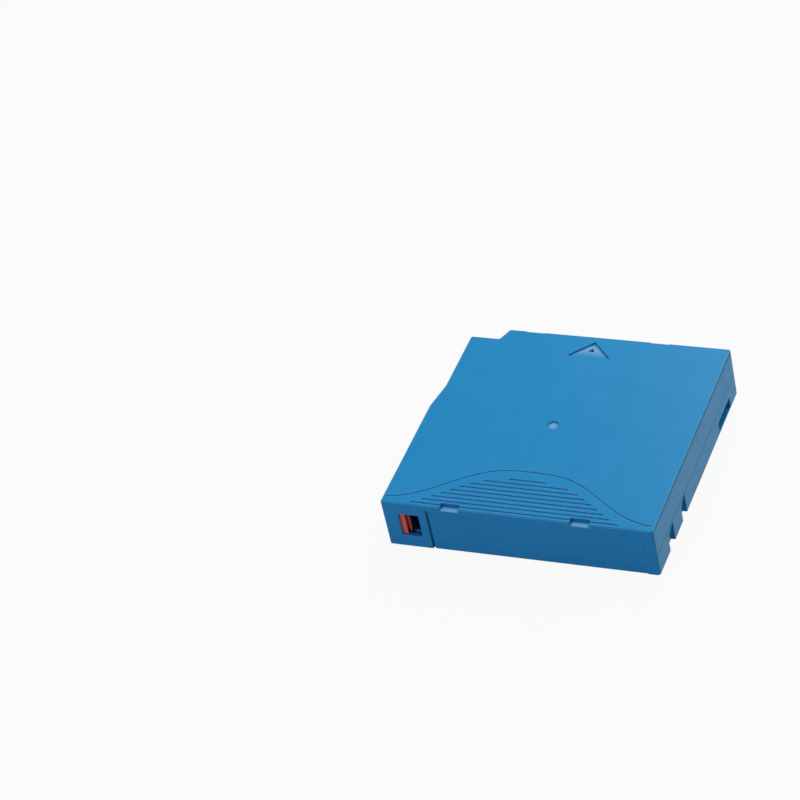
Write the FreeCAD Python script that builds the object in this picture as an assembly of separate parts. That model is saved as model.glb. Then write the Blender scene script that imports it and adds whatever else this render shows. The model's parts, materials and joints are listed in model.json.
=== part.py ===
"""Single-reel half-inch data tape cartridge, in millimetres.

Origin: centre of the footprint on the underside. +X right, +Y the end that enters the drive, +Z up.
The label wall is at -Y and the sliding access door at the front of the -X side.
"""
import FreeCAD
import Part
import math
import os

from FreeCAD import Vector

# ---- Case ----------------------------------------------------------------------------------------
CASE_LENGTH = 105.4          # along X
CASE_WIDTH = 102.0           # along Y
WALL = 1.9                   # upright walls
PLATE = 1.8                  # top and bottom plates
JOINT_HEIGHT = 9.5           # parting plane between the two shells
TOP_BEVEL = 0.45             # outer edge of the top plate
FOOT_BEVEL = 0.25            # outer edge of the underside
SEAM_GROOVE = 0.22           # V-groove cut round the parting plane
LABEL_LEFT_CORNER = 0.8      # vertical corner radii
LABEL_RIGHT_CORNER = 1.2
FRONT_CORNER = 1.0
FRONT_LEFT_CORNER = 0.8
STEP_BLEND = 3.0             # where the left side steps in to the door
DOOR_STEP_START = 54.5       # from the label wall to where the left side starts to step in
DOOR_STEP_LENGTH = 12.2
FRONT_STEP = 5.9             # set-back of the front wall beside the door
FRONT_STEP_WIDTH = 11.6      # its width at the back
FRONT_JOG = 2.6              # run of its slanted end

# ---- Outer details -------------------------------------------------------------------------------
LABEL_WALL_END = 4.5         # from the right side to the end of the label wall
LABEL_DEPTH = 0.5
LABEL_LEFT = 17.3            # from the left side to the label recess
LABEL_TOP = 2.1              # from the top plate down to the label recess
LABEL_GROOVE = 0.9           # width of the deeper groove at its left end
LABEL_GROOVE_TOP = 3.4       # from the top plate down to the groove
LABEL_GROOVE_DEPTH = 1.0
TOP_LINE_DROP = 0.6          # fine groove along the right side and front under the top edge
TOP_LINE = 0.6
TOP_LINE_DEPTH = 0.6
TOP_LINE_START = 1.5         # from the label wall's face
NOTCH_HEIGHT = 8.6           # gripping notches in both sides
NOTCH_DEPTH = 1.8
NOTCH_TOP_DEPTH = 0.3
NOTCH_FOOT = 13.1            # from the label wall to the first notch
FIRST_NOTCH = 6.3
NOTCH_BLOCK = 9.7            # land between the notches
SECOND_NOTCH = 5.3
GUIDE_START = 9.0            # insertion guide in the right side, from the front
GUIDE_LENGTH = 15.3
GUIDE_LIP = 0.6              # from the underside to the guide
GUIDE_HEIGHT = 4.6
GUIDE_DEPTH = 2.2
GUIDE_WALL = 1.2
STACK_NOTCH_LENGTH = 7.6     # stacking notches in the long edges of the plates
STACK_NOTCH_DEPTH = 2.8      # above the label wall
FRONT_NOTCH_DEPTH = 0.7
STACK_NOTCH_DROP = 1.5
STACK_NOTCH_BACKING = 1.0    # thickness added behind and under the notches above the label wall
STACK_NOTCH_PITCH = 50.4
STACK_NOTCH_OFFSET = -0.4
ARROW_WIDTH = 16.0
ARROW_LENGTH = 8.3
ARROW_DEPTH = 0.8
ARROW_FROM_FRONT = 3.7
ARROW_LINE = 0.9             # width of the groove along its two front sides
ARROW_LINE_DEPTH = 0.6
ARROW_PIT = 2.0              # length of the small triangular pit in the arrow
ARROW_PIT_FROM_BASE = 3.5
ARROW_PIT_WIDTH = 2.8
ARROW_PIT_DEPTH = 1.4
GATE_RADIUS = 2.2            # moulding gate dimple
GATE_DEPTH = 0.45
GATE_X = -1.5
GATE_Y = -0.8
SWELL_CENTRE = -1.0          # X of the curved line's crest
SWELL_TAIL = 2.3             # its ends, from the label wall
SWELL_HEIGHT = 21.5
SWELL_SPREAD = 34.0
SWELL_LINE = 0.5             # width of the engraved line
SWELL_LINE_DEPTH = 0.25
GRIP_PITCH = 2.17
GRIP_SHORTEST = 8.0          # shortest groove there is room for
GRIP_WIDTH = 0.95
GRIP_DEPTH = 0.35
GRIP_FROM_EDGE = 1.5         # first groove, from the label wall
GRIP_INSET = 4.7             # from the curved line down to the grooves' ends

# ---- Reel ----------------------------------------------------------------------------------------
REEL_SIDE_GAP = 1.6          # flange to the front wall
REEL_DOOR_GAP = 1.25         # flange to the open door
REEL_FLOOR_GAP = 1.1
REEL_ROOF_GAP = 1.75
FLANGE = 1.1
TAPE_WIDTH = 12.65
TAPE_GAP = 0.1               # film to each flange
PACK_MARGIN = 1.0            # pack edge inside the flange edge
HUB_RADIUS = 22.0
HUB_WALL = 2.4
HUB_FLOOR = 1.5              # floor above the lower flange's underside
HUB_BOSS_RIM = 0.6           # rim of the coupling boss outside its teeth
HUB_BOSS_DROP = 0.9
SPINDLE_GAP = 1.1            # coupling boss to the opening in the bottom plate
COUPLING_TEETH = 48
COUPLING_TOOTH_LENGTH = 3.6
COUPLING_TOOTH_HEIGHT = 1.2
PLATE_RING_WIDTH = 6.2       # steel clutch plate
PLATE_RING_RIM = 1.0         # from the plate to the teeth
PLATE_RING = 0.8
STAKE_LENGTH = 2.4
STAKE_WIDTH = 1.4
STAKE_GAP = 0.1

# ---- Brake ---------------------------------------------------------------------------------------
BRAKE_TEETH = 36
BRAKE_INNER = 8.6
BRAKE_OUTER = 12.6
BRAKE_TOOTH_HEIGHT = 0.9
TOOTH_ROOT_GAP = 0.15
BRAKE_RISE = 0.7             # toothed arcs above the release pad
BRAKE_ARC = 70.0             # degrees of each toothed arc on the hub
BRAKE_DISC_RADIUS = 13.4
BRAKE_DISC = 1.5
BRAKE_TRAVEL = 2.0
PAD = 1.4                    # release pad thickness
PAD_GAP = 0.2
PAD_CENTRE_RADIUS = 6.0
PAD_ARM = 4.6                # arm width
ARM_GAP = 1.1                # arm tip to the hub's inner wall
FOOT_LENGTH = 3.0            # along the arm
FOOT_WIDTH = 2.4
FOOT_GAP = 0.3
ARMS = 3
GUIDE_TUBE_RADIUS = 4.6
GUIDE_TUBE = 4.5             # height above the disc
KEY_SPAN = 5.6               # cross-shaped key that stops the button from turning
KEY_THICKNESS = 1.5
KEY_GAP = 0.2
KEY_ENGAGED = 2.4
POST_GAP = 0.25              # post above the raised button
KEY_FLOOR_GAP = 0.4
BRAKE_COIL_RADIUS = 5.75
BRAKE_WIRE = 0.35            # wire radius
BRAKE_TURNS = 5

# ---- Access door ---------------------------------------------------------------------------------
DOOR = 1.1                   # thickness
DOOR_LIP = 0.5               # plate edge outside the door's groove
DOOR_GAP = 0.15
DOOR_GROOVE = 0.9            # groove depth in each plate
DOOR_LENGTH = 35.8
DOOR_FROM_FRONT = 6.2        # closed door's front edge, from the front of the case
DOOR_TRAVEL = 15.0
DOOR_CATCH = 1.0             # width of the catch rib
DOOR_CATCH_INSET = 2.4       # from the door's front edge
SPRING_HEIGHT = 6.5          # spring axis above the underside
DOOR_COIL_RADIUS = 0.8
DOOR_WIRE = 0.15
DOOR_TURNS = 13
DOOR_SPRING_LENGTH = 35.0
SPIGOT = 0.7                 # side of the square spigots inside the coil
SPIGOT_LENGTH = 2.0
SPRING_STOP = 1.5

# ---- Leader pin ----------------------------------------------------------------------------------
PIN_FROM_SIDE = 10.2
PIN_FROM_FRONT = 13.4
PIN_RADIUS = 1.15
PIN_END_RADIUS = 1.9
PIN_END = 1.2                # thickness of each end disc
PIN_END_GAP = 0.2
SLOT_GAP = 0.2
SLOT_WALL = 1.2
SLOT_RIM = 1.6               # height of the slot walls
FILM = 0.15
CLIP_GAP = 0.05
CLIP = 0.55
CLIP_MOUTH = 80.0            # degrees
LEAF = 0.3                   # leaf thickness
LEAF_WEB = 2.0
LEAF_REACH = 9.6
LEAF_BEARING = 28.0          # where the leaf presses on the pin, degrees towards the front
LEAF_GAP = 0.05
LEAF_FOLD = 1.3

# ---- Write-protect switch ------------------------------------------------------------------------
WINDOW_LEFT = 6.1            # from the left side to the window
WINDOW_WIDTH = 7.8
WINDOW_BOTTOM = 5.2
WINDOW_HEIGHT = 10.4
WINDOW_BEVEL = 0.45
SWITCH_GAP = 0.2
SWITCH_NUB = 2.0
SWITCH_NUB_SET_BACK = 0.9    # from the wall's face
SWITCH_PLATE = 1.3
SWITCH_LENGTH = 4.2
SWITCH_RAIL = 1.0
SWITCH_RAIL_CLEAR = 0.3      # rails to the window's edges

# ---- Cartridge memory ----------------------------------------------------------------------------
BOARD_LENGTH = 14.0
BOARD_HEIGHT = 10.0
BOARD = 0.5
BOARD_FROM_SIDE = 5.2
TRACE = 0.35
TRACE_THICKNESS = 0.1
TRACE_TURNS = 4
TRACE_MARGIN = 1.4
CHIP_SIZE = 2.6
CHIP = 0.6
RIB = 1.0

# ---- Fastenings and locating holes ---------------------------------------------------------------
SCREW_HEAD_RADIUS = 2.0
SCREW_HEAD = 1.4
SCREW_SHANK_RADIUS = 1.0
SCREW_SINK = 2.6             # underside to the head
SCREW_LENGTH = 12.0
SCREW_HEAD_GAP = 0.3
SCREW_SHANK_GAP = 0.2
THREAD_GAP = 0.05
BOSS_WALL = 0.6
RECESS_RADIUS = 0.85         # drive recess in the head
RECESS_DEPTH = 0.8
SIDE_SCREW_X = 7.5           # from each side
SIDE_SCREW_Y = 23.7          # from the label wall
FRONT_SCREW_X = 8.2
FRONT_SCREW_Y = 9.0
JOG_SCREW_X = 19.5
JOG_SCREW_Y = 6.0
LOCATOR_RADIUS = 2.0
LOCATOR_DEPTH = 5.0
LOCATOR_WALL = 1.2
LOCATOR_X = 26.0             # to each side of the centre
LOCATOR_FROM_FRONT = 5.2
LOCATOR_SLOT = 1.0           # extra length of the oblong one
RING_GAP = 0.9               # rib round the reel
RING_WALL = 1.0

# ---- Derived places ------------------------------------------------------------------------------
REEL_HEIGHT = 2 * FLANGE + 2 * TAPE_GAP + TAPE_WIDTH
CASE_HEIGHT = 2 * PLATE + REEL_FLOOR_GAP + REEL_HEIGHT + REEL_ROOF_GAP
HALF_X = CASE_LENGTH / 2
HALF_Y = CASE_WIDTH / 2
ROOF = CASE_HEIGHT - PLATE
WALL_X = HALF_X - WALL
WALL_Y = HALF_Y - WALL
DOOR_EDGE_X = -(HALF_X - WALL - DOOR_GAP * 2)
GROOVE_X = DOOR_EDGE_X + DOOR_LIP
DOOR_X = GROOVE_X + DOOR_GAP
DOOR_INNER_X = DOOR_X + DOOR
DOOR_FRONT = HALF_Y - DOOR_FROM_FRONT
DOOR_REAR = DOOR_FRONT - DOOR_LENGTH
DOOR_LOW = PLATE - DOOR_GROOVE + DOOR_GAP
DOOR_HIGH = ROOF + DOOR_GROOVE - DOOR_GAP
SPRING_X = DOOR_X + DOOR / 2
FRONT_STEP_Y = HALF_Y - FRONT_STEP
JOG_X = DOOR_EDGE_X + FRONT_STEP_WIDTH
STEP_START_Y = -HALF_Y + DOOR_STEP_START
STEP_END_Y = STEP_START_Y + DOOR_STEP_LENGTH

FLANGE_RADIUS = min(WALL_Y - REEL_SIDE_GAP, -DOOR_INNER_X - REEL_DOOR_GAP)
REEL_Z = PLATE + REEL_FLOOR_GAP
TAPE_Z = REEL_Z + FLANGE + TAPE_GAP
TAPE_TOP = TAPE_Z + TAPE_WIDTH
UPPER_FLANGE_Z = TAPE_TOP + TAPE_GAP
PACK_RADIUS = FLANGE_RADIUS - PACK_MARGIN
HUB_INNER = HUB_RADIUS - HUB_WALL
COUPLING_RADIUS = HUB_INNER - ARM_GAP - FOOT_LENGTH / 2
COUPLING_OUTER = COUPLING_RADIUS + COUPLING_TOOTH_LENGTH / 2
COUPLING_INNER = COUPLING_RADIUS - COUPLING_TOOTH_LENGTH / 2
HUB_BOSS_RADIUS = COUPLING_OUTER + HUB_BOSS_RIM
PLATE_RING_OUTER = COUPLING_INNER - PLATE_RING_RIM
PLATE_RING_INNER = PLATE_RING_OUTER - PLATE_RING_WIDTH
FLOOR_TOP = REEL_Z + HUB_FLOOR
BOSS_Z = REEL_Z - HUB_BOSS_DROP
SPINDLE_RADIUS = HUB_BOSS_RADIUS + SPINDLE_GAP

PAD_Z = FLOOR_TOP + PAD_GAP
PAD_TOP = PAD_Z + PAD
BRAKE_ROOT = PAD_TOP + BRAKE_RISE
DISC_Z = BRAKE_ROOT + BRAKE_TOOTH_HEIGHT + TOOTH_ROOT_GAP
DISC_TOP = DISC_Z + BRAKE_DISC
TUBE_TOP = DISC_TOP + GUIDE_TUBE
KEY_BOTTOM = TUBE_TOP - KEY_ENGAGED
POST_BOTTOM = TUBE_TOP + BRAKE_TRAVEL + POST_GAP

PIN_X = -HALF_X + PIN_FROM_SIDE
PIN_Y = HALF_Y - PIN_FROM_FRONT
PIN_BOTTOM = PLATE + PIN_END_GAP
PIN_TOP = ROOF - PIN_END_GAP
CLIP_RADIUS = PIN_RADIUS + CLIP_GAP + CLIP
SLOT_RADIUS = PIN_END_RADIUS + SLOT_GAP

WINDOW_X = -HALF_X + WINDOW_LEFT
SWITCH_Y = -WALL_Y + SWITCH_GAP
SCREW_PLACES = [
    (-HALF_X + SIDE_SCREW_X, -HALF_Y + SIDE_SCREW_Y),
    (HALF_X - SIDE_SCREW_X, -HALF_Y + SIDE_SCREW_Y),
    (HALF_X - FRONT_SCREW_X, HALF_Y - FRONT_SCREW_Y),
    (-HALF_X + JOG_SCREW_X, HALF_Y - JOG_SCREW_Y),
]
UP = Vector(0, 0, 1)


# ---- Building blocks -----------------------------------------------------------------------------
def block(x0, x1, y0, y1, z0, z1):
    """A box between two corners."""
    return Part.makeBox(x1 - x0, y1 - y0, z1 - z0, Vector(x0, y0, z0))


def rod(radius, z0, z1, x=0.0, y=0.0):
    """An upright cylinder."""
    return Part.makeCylinder(radius, z1 - z0, Vector(x, y, z0))


def tube(outer, inner, z0, z1, x=0.0, y=0.0):
    """An upright ring."""
    return rod(outer, z0, z1, x, y).cut(rod(inner, z0 - 1, z1 + 1, x, y))


def fused(first, others):
    """One solid from pieces that meet."""
    return first.multiFuse(others).removeSplitter()


def prism(points, z0, z1):
    """An upright prism on a polygon in plan."""
    corners = [Vector(x, y, z0) for x, y in points]
    return Part.Face(Part.makePolygon(corners + corners[:1])).extrude(Vector(0, 0, z1 - z0))


def side_prism(points, x0, x1):
    """A prism along X on a polygon of (y, z) points."""
    corners = [Vector(x0, y, z) for y, z in points]
    return Part.Face(Part.makePolygon(corners + corners[:1])).extrude(Vector(x1 - x0, 0, 0))


def end_prism(points, y0, y1):
    """A prism along Y on a polygon of (x, z) points."""
    corners = [Vector(x, y0, z) for x, z in points]
    return Part.Face(Part.makePolygon(corners + corners[:1])).extrude(Vector(0, y1 - y0, 0))


def turned(profile):
    """A solid of revolution about Z from (radius, z) points."""
    corners = [Vector(r, 0, z) for r, z in profile]
    face = Part.Face(Part.makePolygon(corners + corners[:1]))
    return face.revolve(Vector(0, 0, 0), UP, 360)


def rotated(shape, degrees):
    """A copy turned about Z."""
    copy = shape.copy()
    copy.rotate(Vector(0, 0, 0), UP, degrees)
    return copy


def rounded_face(corners, z):
    """A face on a polygon whose corners (x, y, radius) are rounded by tangent arcs."""
    edges = []
    ends = []
    count = len(corners)
    for i, (x, y, radius) in enumerate(corners):
        here = Vector(x, y, z)
        back = Vector(corners[i - 1][0], corners[i - 1][1], z) - here
        ahead = Vector(corners[(i + 1) % count][0], corners[(i + 1) % count][1], z) - here
        back.normalize()
        ahead.normalize()
        half = back.getAngle(ahead) / 2
        reach = radius / math.tan(half)
        middle = back + ahead
        middle.normalize()
        crown = here + middle * (radius / math.sin(half) - radius)
        start = here + back * reach
        end = here + ahead * reach
        ends.append((start, end))
        edges.append(Part.Arc(start, crown, end).toShape())
    lines = [Part.makeLine(ends[i][1], ends[(i + 1) % count][0]) for i in range(count)]
    ordered = [edge for pair in zip(edges, lines) for edge in pair]
    return Part.Face(Part.Wire(ordered))


def band(points, width):
    """Plan outline of a thin strip of one width that follows points, with mitred bends."""
    left = []
    right = []
    for i, point in enumerate(points):
        before = points[max(i - 1, 0)]
        after = points[min(i + 1, len(points) - 1)]
        first = point - before if i else after - point
        last = after - point if i < len(points) - 1 else point - before
        first.normalize()
        last.normalize()
        normal_a = Vector(-first.y, first.x, 0)
        normal_b = Vector(-last.y, last.x, 0)
        mitre = normal_a + normal_b
        mitre.normalize()
        reach = width / 2 / mitre.dot(normal_a)
        left.append(point + mitre * reach)
        right.append(point - mitre * reach)
    return [(p.x, p.y) for p in left + right[::-1]]


def coil(radius, wire, height, turns, steps, sides):
    """A compression coil about Z whose wire lies on both seats, made of straight ruled spans."""
    sections = []
    count = int(turns * steps)
    rise = height - 2 * wire
    for i in range(count + 1):
        angle = 2 * math.pi * i / steps
        middle = wire + rise * i / count
        ring = []
        for j in range(sides):
            turn = 2 * math.pi * j / sides
            reach = radius + wire * math.cos(turn)
            level = middle + wire * math.sin(turn)
            ring.append(Vector(reach * math.cos(angle), reach * math.sin(angle), level))
        sections.append(Part.makePolygon(ring + ring[:1]))
    return Part.makeLoft(sections, True, True)


def tooth_ring(count, middle_radius, length, height, root, direction, skip=None, phase=0.0):
    """Radial trapezoid teeth that stand on z = root, up (direction 1) or down (-1)."""
    pitch = 2 * math.pi * middle_radius / count
    foot = 0.30 * pitch
    tip = 0.10 * pitch
    inner = middle_radius - length / 2
    sink = root - direction * 0.2
    crest = root + direction * height
    outline = [(-foot, sink), (foot, sink), (foot, root), (tip, crest), (-tip, crest), (-foot, root)]
    corners = [Vector(inner, y, z) for y, z in outline]
    tooth = Part.Face(Part.makePolygon(corners + corners[:1])).extrude(Vector(length, 0, 0))
    angles = [phase + 360.0 * i / count for i in range(count)]
    return [rotated(tooth, angle) for angle in angles if skip is None or not skip(angle)]


def angle_from_arm(angle):
    """Degrees from a direction to the nearest arm of the release pad."""
    sector = 360.0 / ARMS
    return abs((angle - 90.0 + sector / 2) % sector - sector / 2)


# ---- Case outline --------------------------------------------------------------------------------
def outline_face(z, inset=0.0):
    """The footprint shared by both shells, set in by an even inset."""
    x = HALF_X - inset
    y = HALF_Y - inset
    door_x = DOOR_EDGE_X + inset
    jog_y = FRONT_STEP_Y - inset
    shave = max(0.1, 1 - inset)
    return rounded_face([
        (-x, -y, LABEL_LEFT_CORNER * shave),
        (x, -y, LABEL_RIGHT_CORNER * shave),
        (x, y, FRONT_CORNER * shave),
        (JOG_X + FRONT_JOG + inset * 0.6, y, FRONT_LEFT_CORNER * shave),
        (JOG_X + inset * 0.6, jog_y, FRONT_LEFT_CORNER),
        (door_x, jog_y, FRONT_LEFT_CORNER * shave),
        (door_x, STEP_END_Y, STEP_BLEND),
        (-x, STEP_START_Y, STEP_BLEND),
    ], z)


def solid_case(z0, z1):
    """The full footprint between two heights."""
    return outline_face(z0).extrude(Vector(0, 0, z1 - z0))


def bevelled_case(z0, z1, level, bevel):
    """The full footprint with the outer edge at one level bevelled all round."""
    body = solid_case(z0, z1)
    rim = [e for e in body.Edges if all(abs(v.Point.z - level) < 1e-6 for v in e.Vertexes)]
    return body.makeChamfer(bevel, rim)


def cavity(z0, z1):
    """The room inside the walls; it runs out through the left side where the door is."""
    far = -HALF_X - 5
    wall_end = STEP_END_Y - DOOR_STEP_LENGTH / 3
    nose = DOOR_INNER_X + DOOR_GAP
    slant = FRONT_JOG * WALL / FRONT_STEP
    return prism([
        (-WALL_X, -WALL_Y), (WALL_X, -WALL_Y), (WALL_X, WALL_Y),
        (JOG_X + FRONT_JOG + slant, WALL_Y), (JOG_X + slant, FRONT_STEP_Y - WALL),
        (nose, FRONT_STEP_Y - WALL), (nose, HALF_Y + 5), (far, HALF_Y + 5),
        (far, wall_end), (-WALL_X, wall_end),
    ], z0, z1)


def door_groove(z0, z1):
    """Track of the door in one plate, long enough for its travel."""
    return block(GROOVE_X, DOOR_INNER_X + DOOR_GAP, DOOR_REAR - DOOR_TRAVEL - 1.0, HALF_Y + 1, z0, z1)


def seam_groove():
    """V-groove round the outside at the parting plane."""
    low = outline_face(JOINT_HEIGHT - SEAM_GROOVE).extrude(Vector(0, 0, SEAM_GROOVE * 2))
    core = outline_face(JOINT_HEIGHT - SEAM_GROOVE, SEAM_GROOVE).extrude(Vector(0, 0, SEAM_GROOVE * 2))
    return low.cut(core)


def label_wall_region(z0, z1):
    """Room of the label wall, which belongs to the upper shell down to the underside."""
    return block(-HALF_X - 1, HALF_X - LABEL_WALL_END, -HALF_Y - 1, -WALL_Y, z0, z1)


def stacking_pair(y0, y1, z0, z1, margin=0.0):
    """Blocks where the two stacking notches of one long edge are, wider by a margin at each end."""
    half = STACK_NOTCH_LENGTH / 2 + margin
    middles = [STACK_NOTCH_OFFSET + side * STACK_NOTCH_PITCH / 2 for side in (-1, 1)]
    return [block(x - half, x + half, y0, y1, z0, z1) for x in middles]


def front_notches(z0, z1):
    """The stacking notches in the front edge of a plate."""
    return stacking_pair(HALF_Y - FRONT_NOTCH_DEPTH, HALF_Y + 1, z0, z1)


def ring_arcs(z0, z1):
    """Ribs round the reel in three corners, left open where the film and the door run."""
    inner = FLANGE_RADIUS + RING_GAP
    ring = tube(inner + RING_WALL, inner, z0, z1)
    reach = HALF_X + HALF_Y
    arcs = []
    for start, end in ((-65, -32), (28, 62), (215, 238)):
        a = math.radians(start)
        b = math.radians(end)
        wedge = prism([(0, 0), (reach * math.cos(a), reach * math.sin(a)),
                       (reach * math.cos(b), reach * math.sin(b))], z0 - 1, z1 + 1)
        arcs.append(ring.common(wedge))
    return arcs


def pin_slot(z0, z1):
    """U-shaped rim, open to the door, that holds one end of the leader pin."""
    right = PIN_X + SLOT_RADIUS + SLOT_WALL
    left = PIN_X - PIN_END_RADIUS
    half = SLOT_RADIUS + SLOT_WALL
    rim = block(left, right, PIN_Y - half, PIN_Y + half, z0, z1)
    throat = block(left - 1, PIN_X, PIN_Y - SLOT_RADIUS, PIN_Y + SLOT_RADIUS, z0 - 1, z1 + 1)
    return rim.cut(throat).cut(rod(SLOT_RADIUS, z0 - 1, z1 + 1, PIN_X, PIN_Y))


# ---- Upper shell ---------------------------------------------------------------------------------
def swell(x):
    """Y of the curved line across the top: a flat-topped swell above the label wall."""
    lift = math.exp(-(abs(x - SWELL_CENTRE) / SWELL_SPREAD) ** 3)
    return -HALF_Y + SWELL_TAIL + SWELL_HEIGHT * lift


def swell_line():
    """The engraved line: a thin strip that follows the swell from side to side."""
    steps = 30
    run = HALF_X - 1.2
    points = []
    for i in range(steps + 1):
        x = -run + 2 * run * i / steps
        points.append(Vector(x, swell(x), 0))
    return prism(band(points, SWELL_LINE), CASE_HEIGHT - SWELL_LINE_DEPTH, CASE_HEIGHT + 1)


def grip_grooves():
    """Parallel grooves with pointed ends that fill the swell, each as long as its room."""
    grooves = []
    r = GRIP_WIDTH / 2
    crest = swell(SWELL_CENTRE + GRIP_SHORTEST / 2) + HALF_Y - GRIP_INSET
    count = int((crest - GRIP_FROM_EDGE) / GRIP_PITCH) + 1
    for i in range(count):
        y = -HALF_Y + GRIP_FROM_EDGE + i * GRIP_PITCH
        share = (y + HALF_Y + GRIP_INSET - SWELL_TAIL) / SWELL_HEIGHT
        half = SWELL_SPREAD * (-math.log(share)) ** (1 / 3)
        x0 = SWELL_CENTRE - half
        x1 = SWELL_CENTRE + half
        outline = [(x0, y), (x0 + 2 * r, y - r), (x1 - 2 * r, y - r),
                   (x1, y), (x1 - 2 * r, y + r), (x0 + 2 * r, y + r)]
        grooves.append(prism(outline, CASE_HEIGHT - GRIP_DEPTH, CASE_HEIGHT + 1))
    return grooves


def arrow():
    """Insertion arrow: a triangular recess that ramps from flush at its base to its tip."""
    tip_y = HALF_Y - ARROW_FROM_FRONT
    base_y = tip_y - ARROW_LENGTH
    top = CASE_HEIGHT
    middle = STACK_NOTCH_OFFSET
    half = ARROW_WIDTH / 2
    plan = prism([(middle - half, base_y), (middle + half, base_y), (middle, tip_y)], top - 2, top + 1)
    ramp = side_prism([(base_y - 0.1, top), (tip_y, top - ARROW_DEPTH), (tip_y + 1, top - ARROW_DEPTH),
                       (tip_y + 1, top + 1), (base_y - 0.1, top + 1)], middle - half - 1, middle + half + 1)
    sides = band([Vector(middle - half, base_y, 0), Vector(middle, tip_y, 0),
                  Vector(middle + half, base_y, 0)], ARROW_LINE)
    pit_y = base_y + ARROW_PIT_FROM_BASE
    pit = prism([(middle - ARROW_PIT_WIDTH / 2, pit_y), (middle + ARROW_PIT_WIDTH / 2, pit_y),
                 (middle, pit_y + ARROW_PIT)], top - ARROW_PIT_DEPTH, top + 1)
    return [plan.common(ramp), prism(sides, top - ARROW_LINE_DEPTH, top + 1), pit]


def window():
    """Write-protect window with bevelled edges, through the label wall."""
    x1 = WINDOW_X + WINDOW_WIDTH
    z1 = WINDOW_BOTTOM + WINDOW_HEIGHT
    hole = block(WINDOW_X, x1, -HALF_Y - 1, -WALL_Y + 1, WINDOW_BOTTOM, z1)
    wires = []
    for y, grow in ((-HALF_Y - 0.01, WINDOW_BEVEL), (-HALF_Y + WINDOW_BEVEL, 0.0)):
        corners = [
            Vector(WINDOW_X - grow, y, WINDOW_BOTTOM - grow), Vector(x1 + grow, y, WINDOW_BOTTOM - grow),
            Vector(x1 + grow, y, z1 + grow), Vector(WINDOW_X - grow, y, z1 + grow),
        ]
        wires.append(Part.makePolygon(corners + corners[:1]))
    return [hole, Part.makeLoft(wires, True, True)]


def side_line():
    """Fine groove along the right side and the front just under the top edge."""
    top = CASE_HEIGHT - TOP_LINE_DROP
    strip = outline_face(top - TOP_LINE).extrude(Vector(0, 0, TOP_LINE))
    core = outline_face(top - TOP_LINE, TOP_LINE_DEPTH).extrude(Vector(0, 0, TOP_LINE))
    keep = block(JOG_X + FRONT_JOG + 1, HALF_X + 1, -HALF_Y + TOP_LINE_START, HALF_Y + 1,
                 0, CASE_HEIGHT)
    return strip.cut(core).common(keep)


def key_post():
    """Post under the roof whose cross-shaped key guides the brake button."""
    base = rod(GUIDE_TUBE_RADIUS, POST_BOTTOM, ROOF)
    bars = [
        block(-KEY_SPAN / 2, KEY_SPAN / 2, -KEY_THICKNESS / 2, KEY_THICKNESS / 2, KEY_BOTTOM, ROOF),
        block(-KEY_THICKNESS / 2, KEY_THICKNESS / 2, -KEY_SPAN / 2, KEY_SPAN / 2, KEY_BOTTOM, ROOF),
    ]
    return base.multiFuse(bars)


def screw_blocks(z0, z1):
    """Square bosses, one round each screw."""
    half = SCREW_HEAD_RADIUS + SCREW_HEAD_GAP + BOSS_WALL
    return [block(x - half, x + half, y - half, y + half, z0, z1) for x, y in SCREW_PLACES]


def pilot_holes():
    """Holes that the screws cut their threads in."""
    top = SCREW_SINK + SCREW_HEAD + SCREW_LENGTH + 1.0
    return [rod(SCREW_SHANK_RADIUS + THREAD_GAP, JOINT_HEIGHT - 1, top, x, y) for x, y in SCREW_PLACES]


def switch_rail(z0, z1):
    """Rib behind the write-protect switch."""
    y = SWITCH_Y + SWITCH_PLATE + SWITCH_GAP
    end = WINDOW_X + WINDOW_WIDTH + 2.0
    return block(-WALL_X, end, y, y + SWITCH_RAIL, z0, z1)


def upper_shell():
    """Top plate, side walls down to the parting plane and the label wall down to the underside."""
    body = bevelled_case(JOINT_HEIGHT, CASE_HEIGHT, CASE_HEIGHT, TOP_BEVEL)
    body = body.cut(cavity(JOINT_HEIGHT - 1, ROOF))
    skirt = bevelled_case(0, JOINT_HEIGHT, 0, FOOT_BEVEL).common(label_wall_region(0, JOINT_HEIGHT))
    ribs = ring_arcs(JOINT_HEIGHT + 1, ROOF) + [pin_slot(ROOF - SLOT_RIM, ROOF), key_post()]
    ribs.append(switch_rail(WINDOW_BOTTOM + WINDOW_HEIGHT + SWITCH_RAIL_CLEAR, ROOF))
    notch_back = -HALF_Y + STACK_NOTCH_DEPTH
    ribs += stacking_pair(-WALL_Y - WALL / 2, notch_back + STACK_NOTCH_BACKING, ROOF - STACK_NOTCH_BACKING,
                          ROOF, STACK_NOTCH_BACKING)
    body = fused(body, [skirt] + ribs + screw_blocks(JOINT_HEIGHT, ROOF))
    label = block(-HALF_X + LABEL_LEFT, HALF_X - LABEL_WALL_END + 1, -HALF_Y - 1,
                  -HALF_Y + LABEL_DEPTH, -1, CASE_HEIGHT - LABEL_TOP)
    groove = block(-HALF_X + LABEL_LEFT, -HALF_X + LABEL_LEFT + LABEL_GROOVE, -HALF_Y - 1,
                   -HALF_Y + LABEL_GROOVE_DEPTH, -1, CASE_HEIGHT - LABEL_GROOVE_TOP)
    seam = seam_groove().cut(label_wall_region(0, CASE_HEIGHT))
    cuts = [label, groove, seam, side_line(), door_groove(ROOF - 1, ROOF + DOOR_GROOVE)]
    cuts += pilot_holes() + window() + arrow() + grip_grooves() + [swell_line()]
    notch_floor = CASE_HEIGHT - STACK_NOTCH_DROP
    cuts += stacking_pair(-HALF_Y - 1, notch_back, notch_floor, CASE_HEIGHT + 1)
    cuts += front_notches(notch_floor, CASE_HEIGHT + 1)
    cuts.append(rod(GATE_RADIUS, CASE_HEIGHT - GATE_DEPTH, CASE_HEIGHT + 1, GATE_X, GATE_Y))
    return body.cut(cuts)


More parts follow.
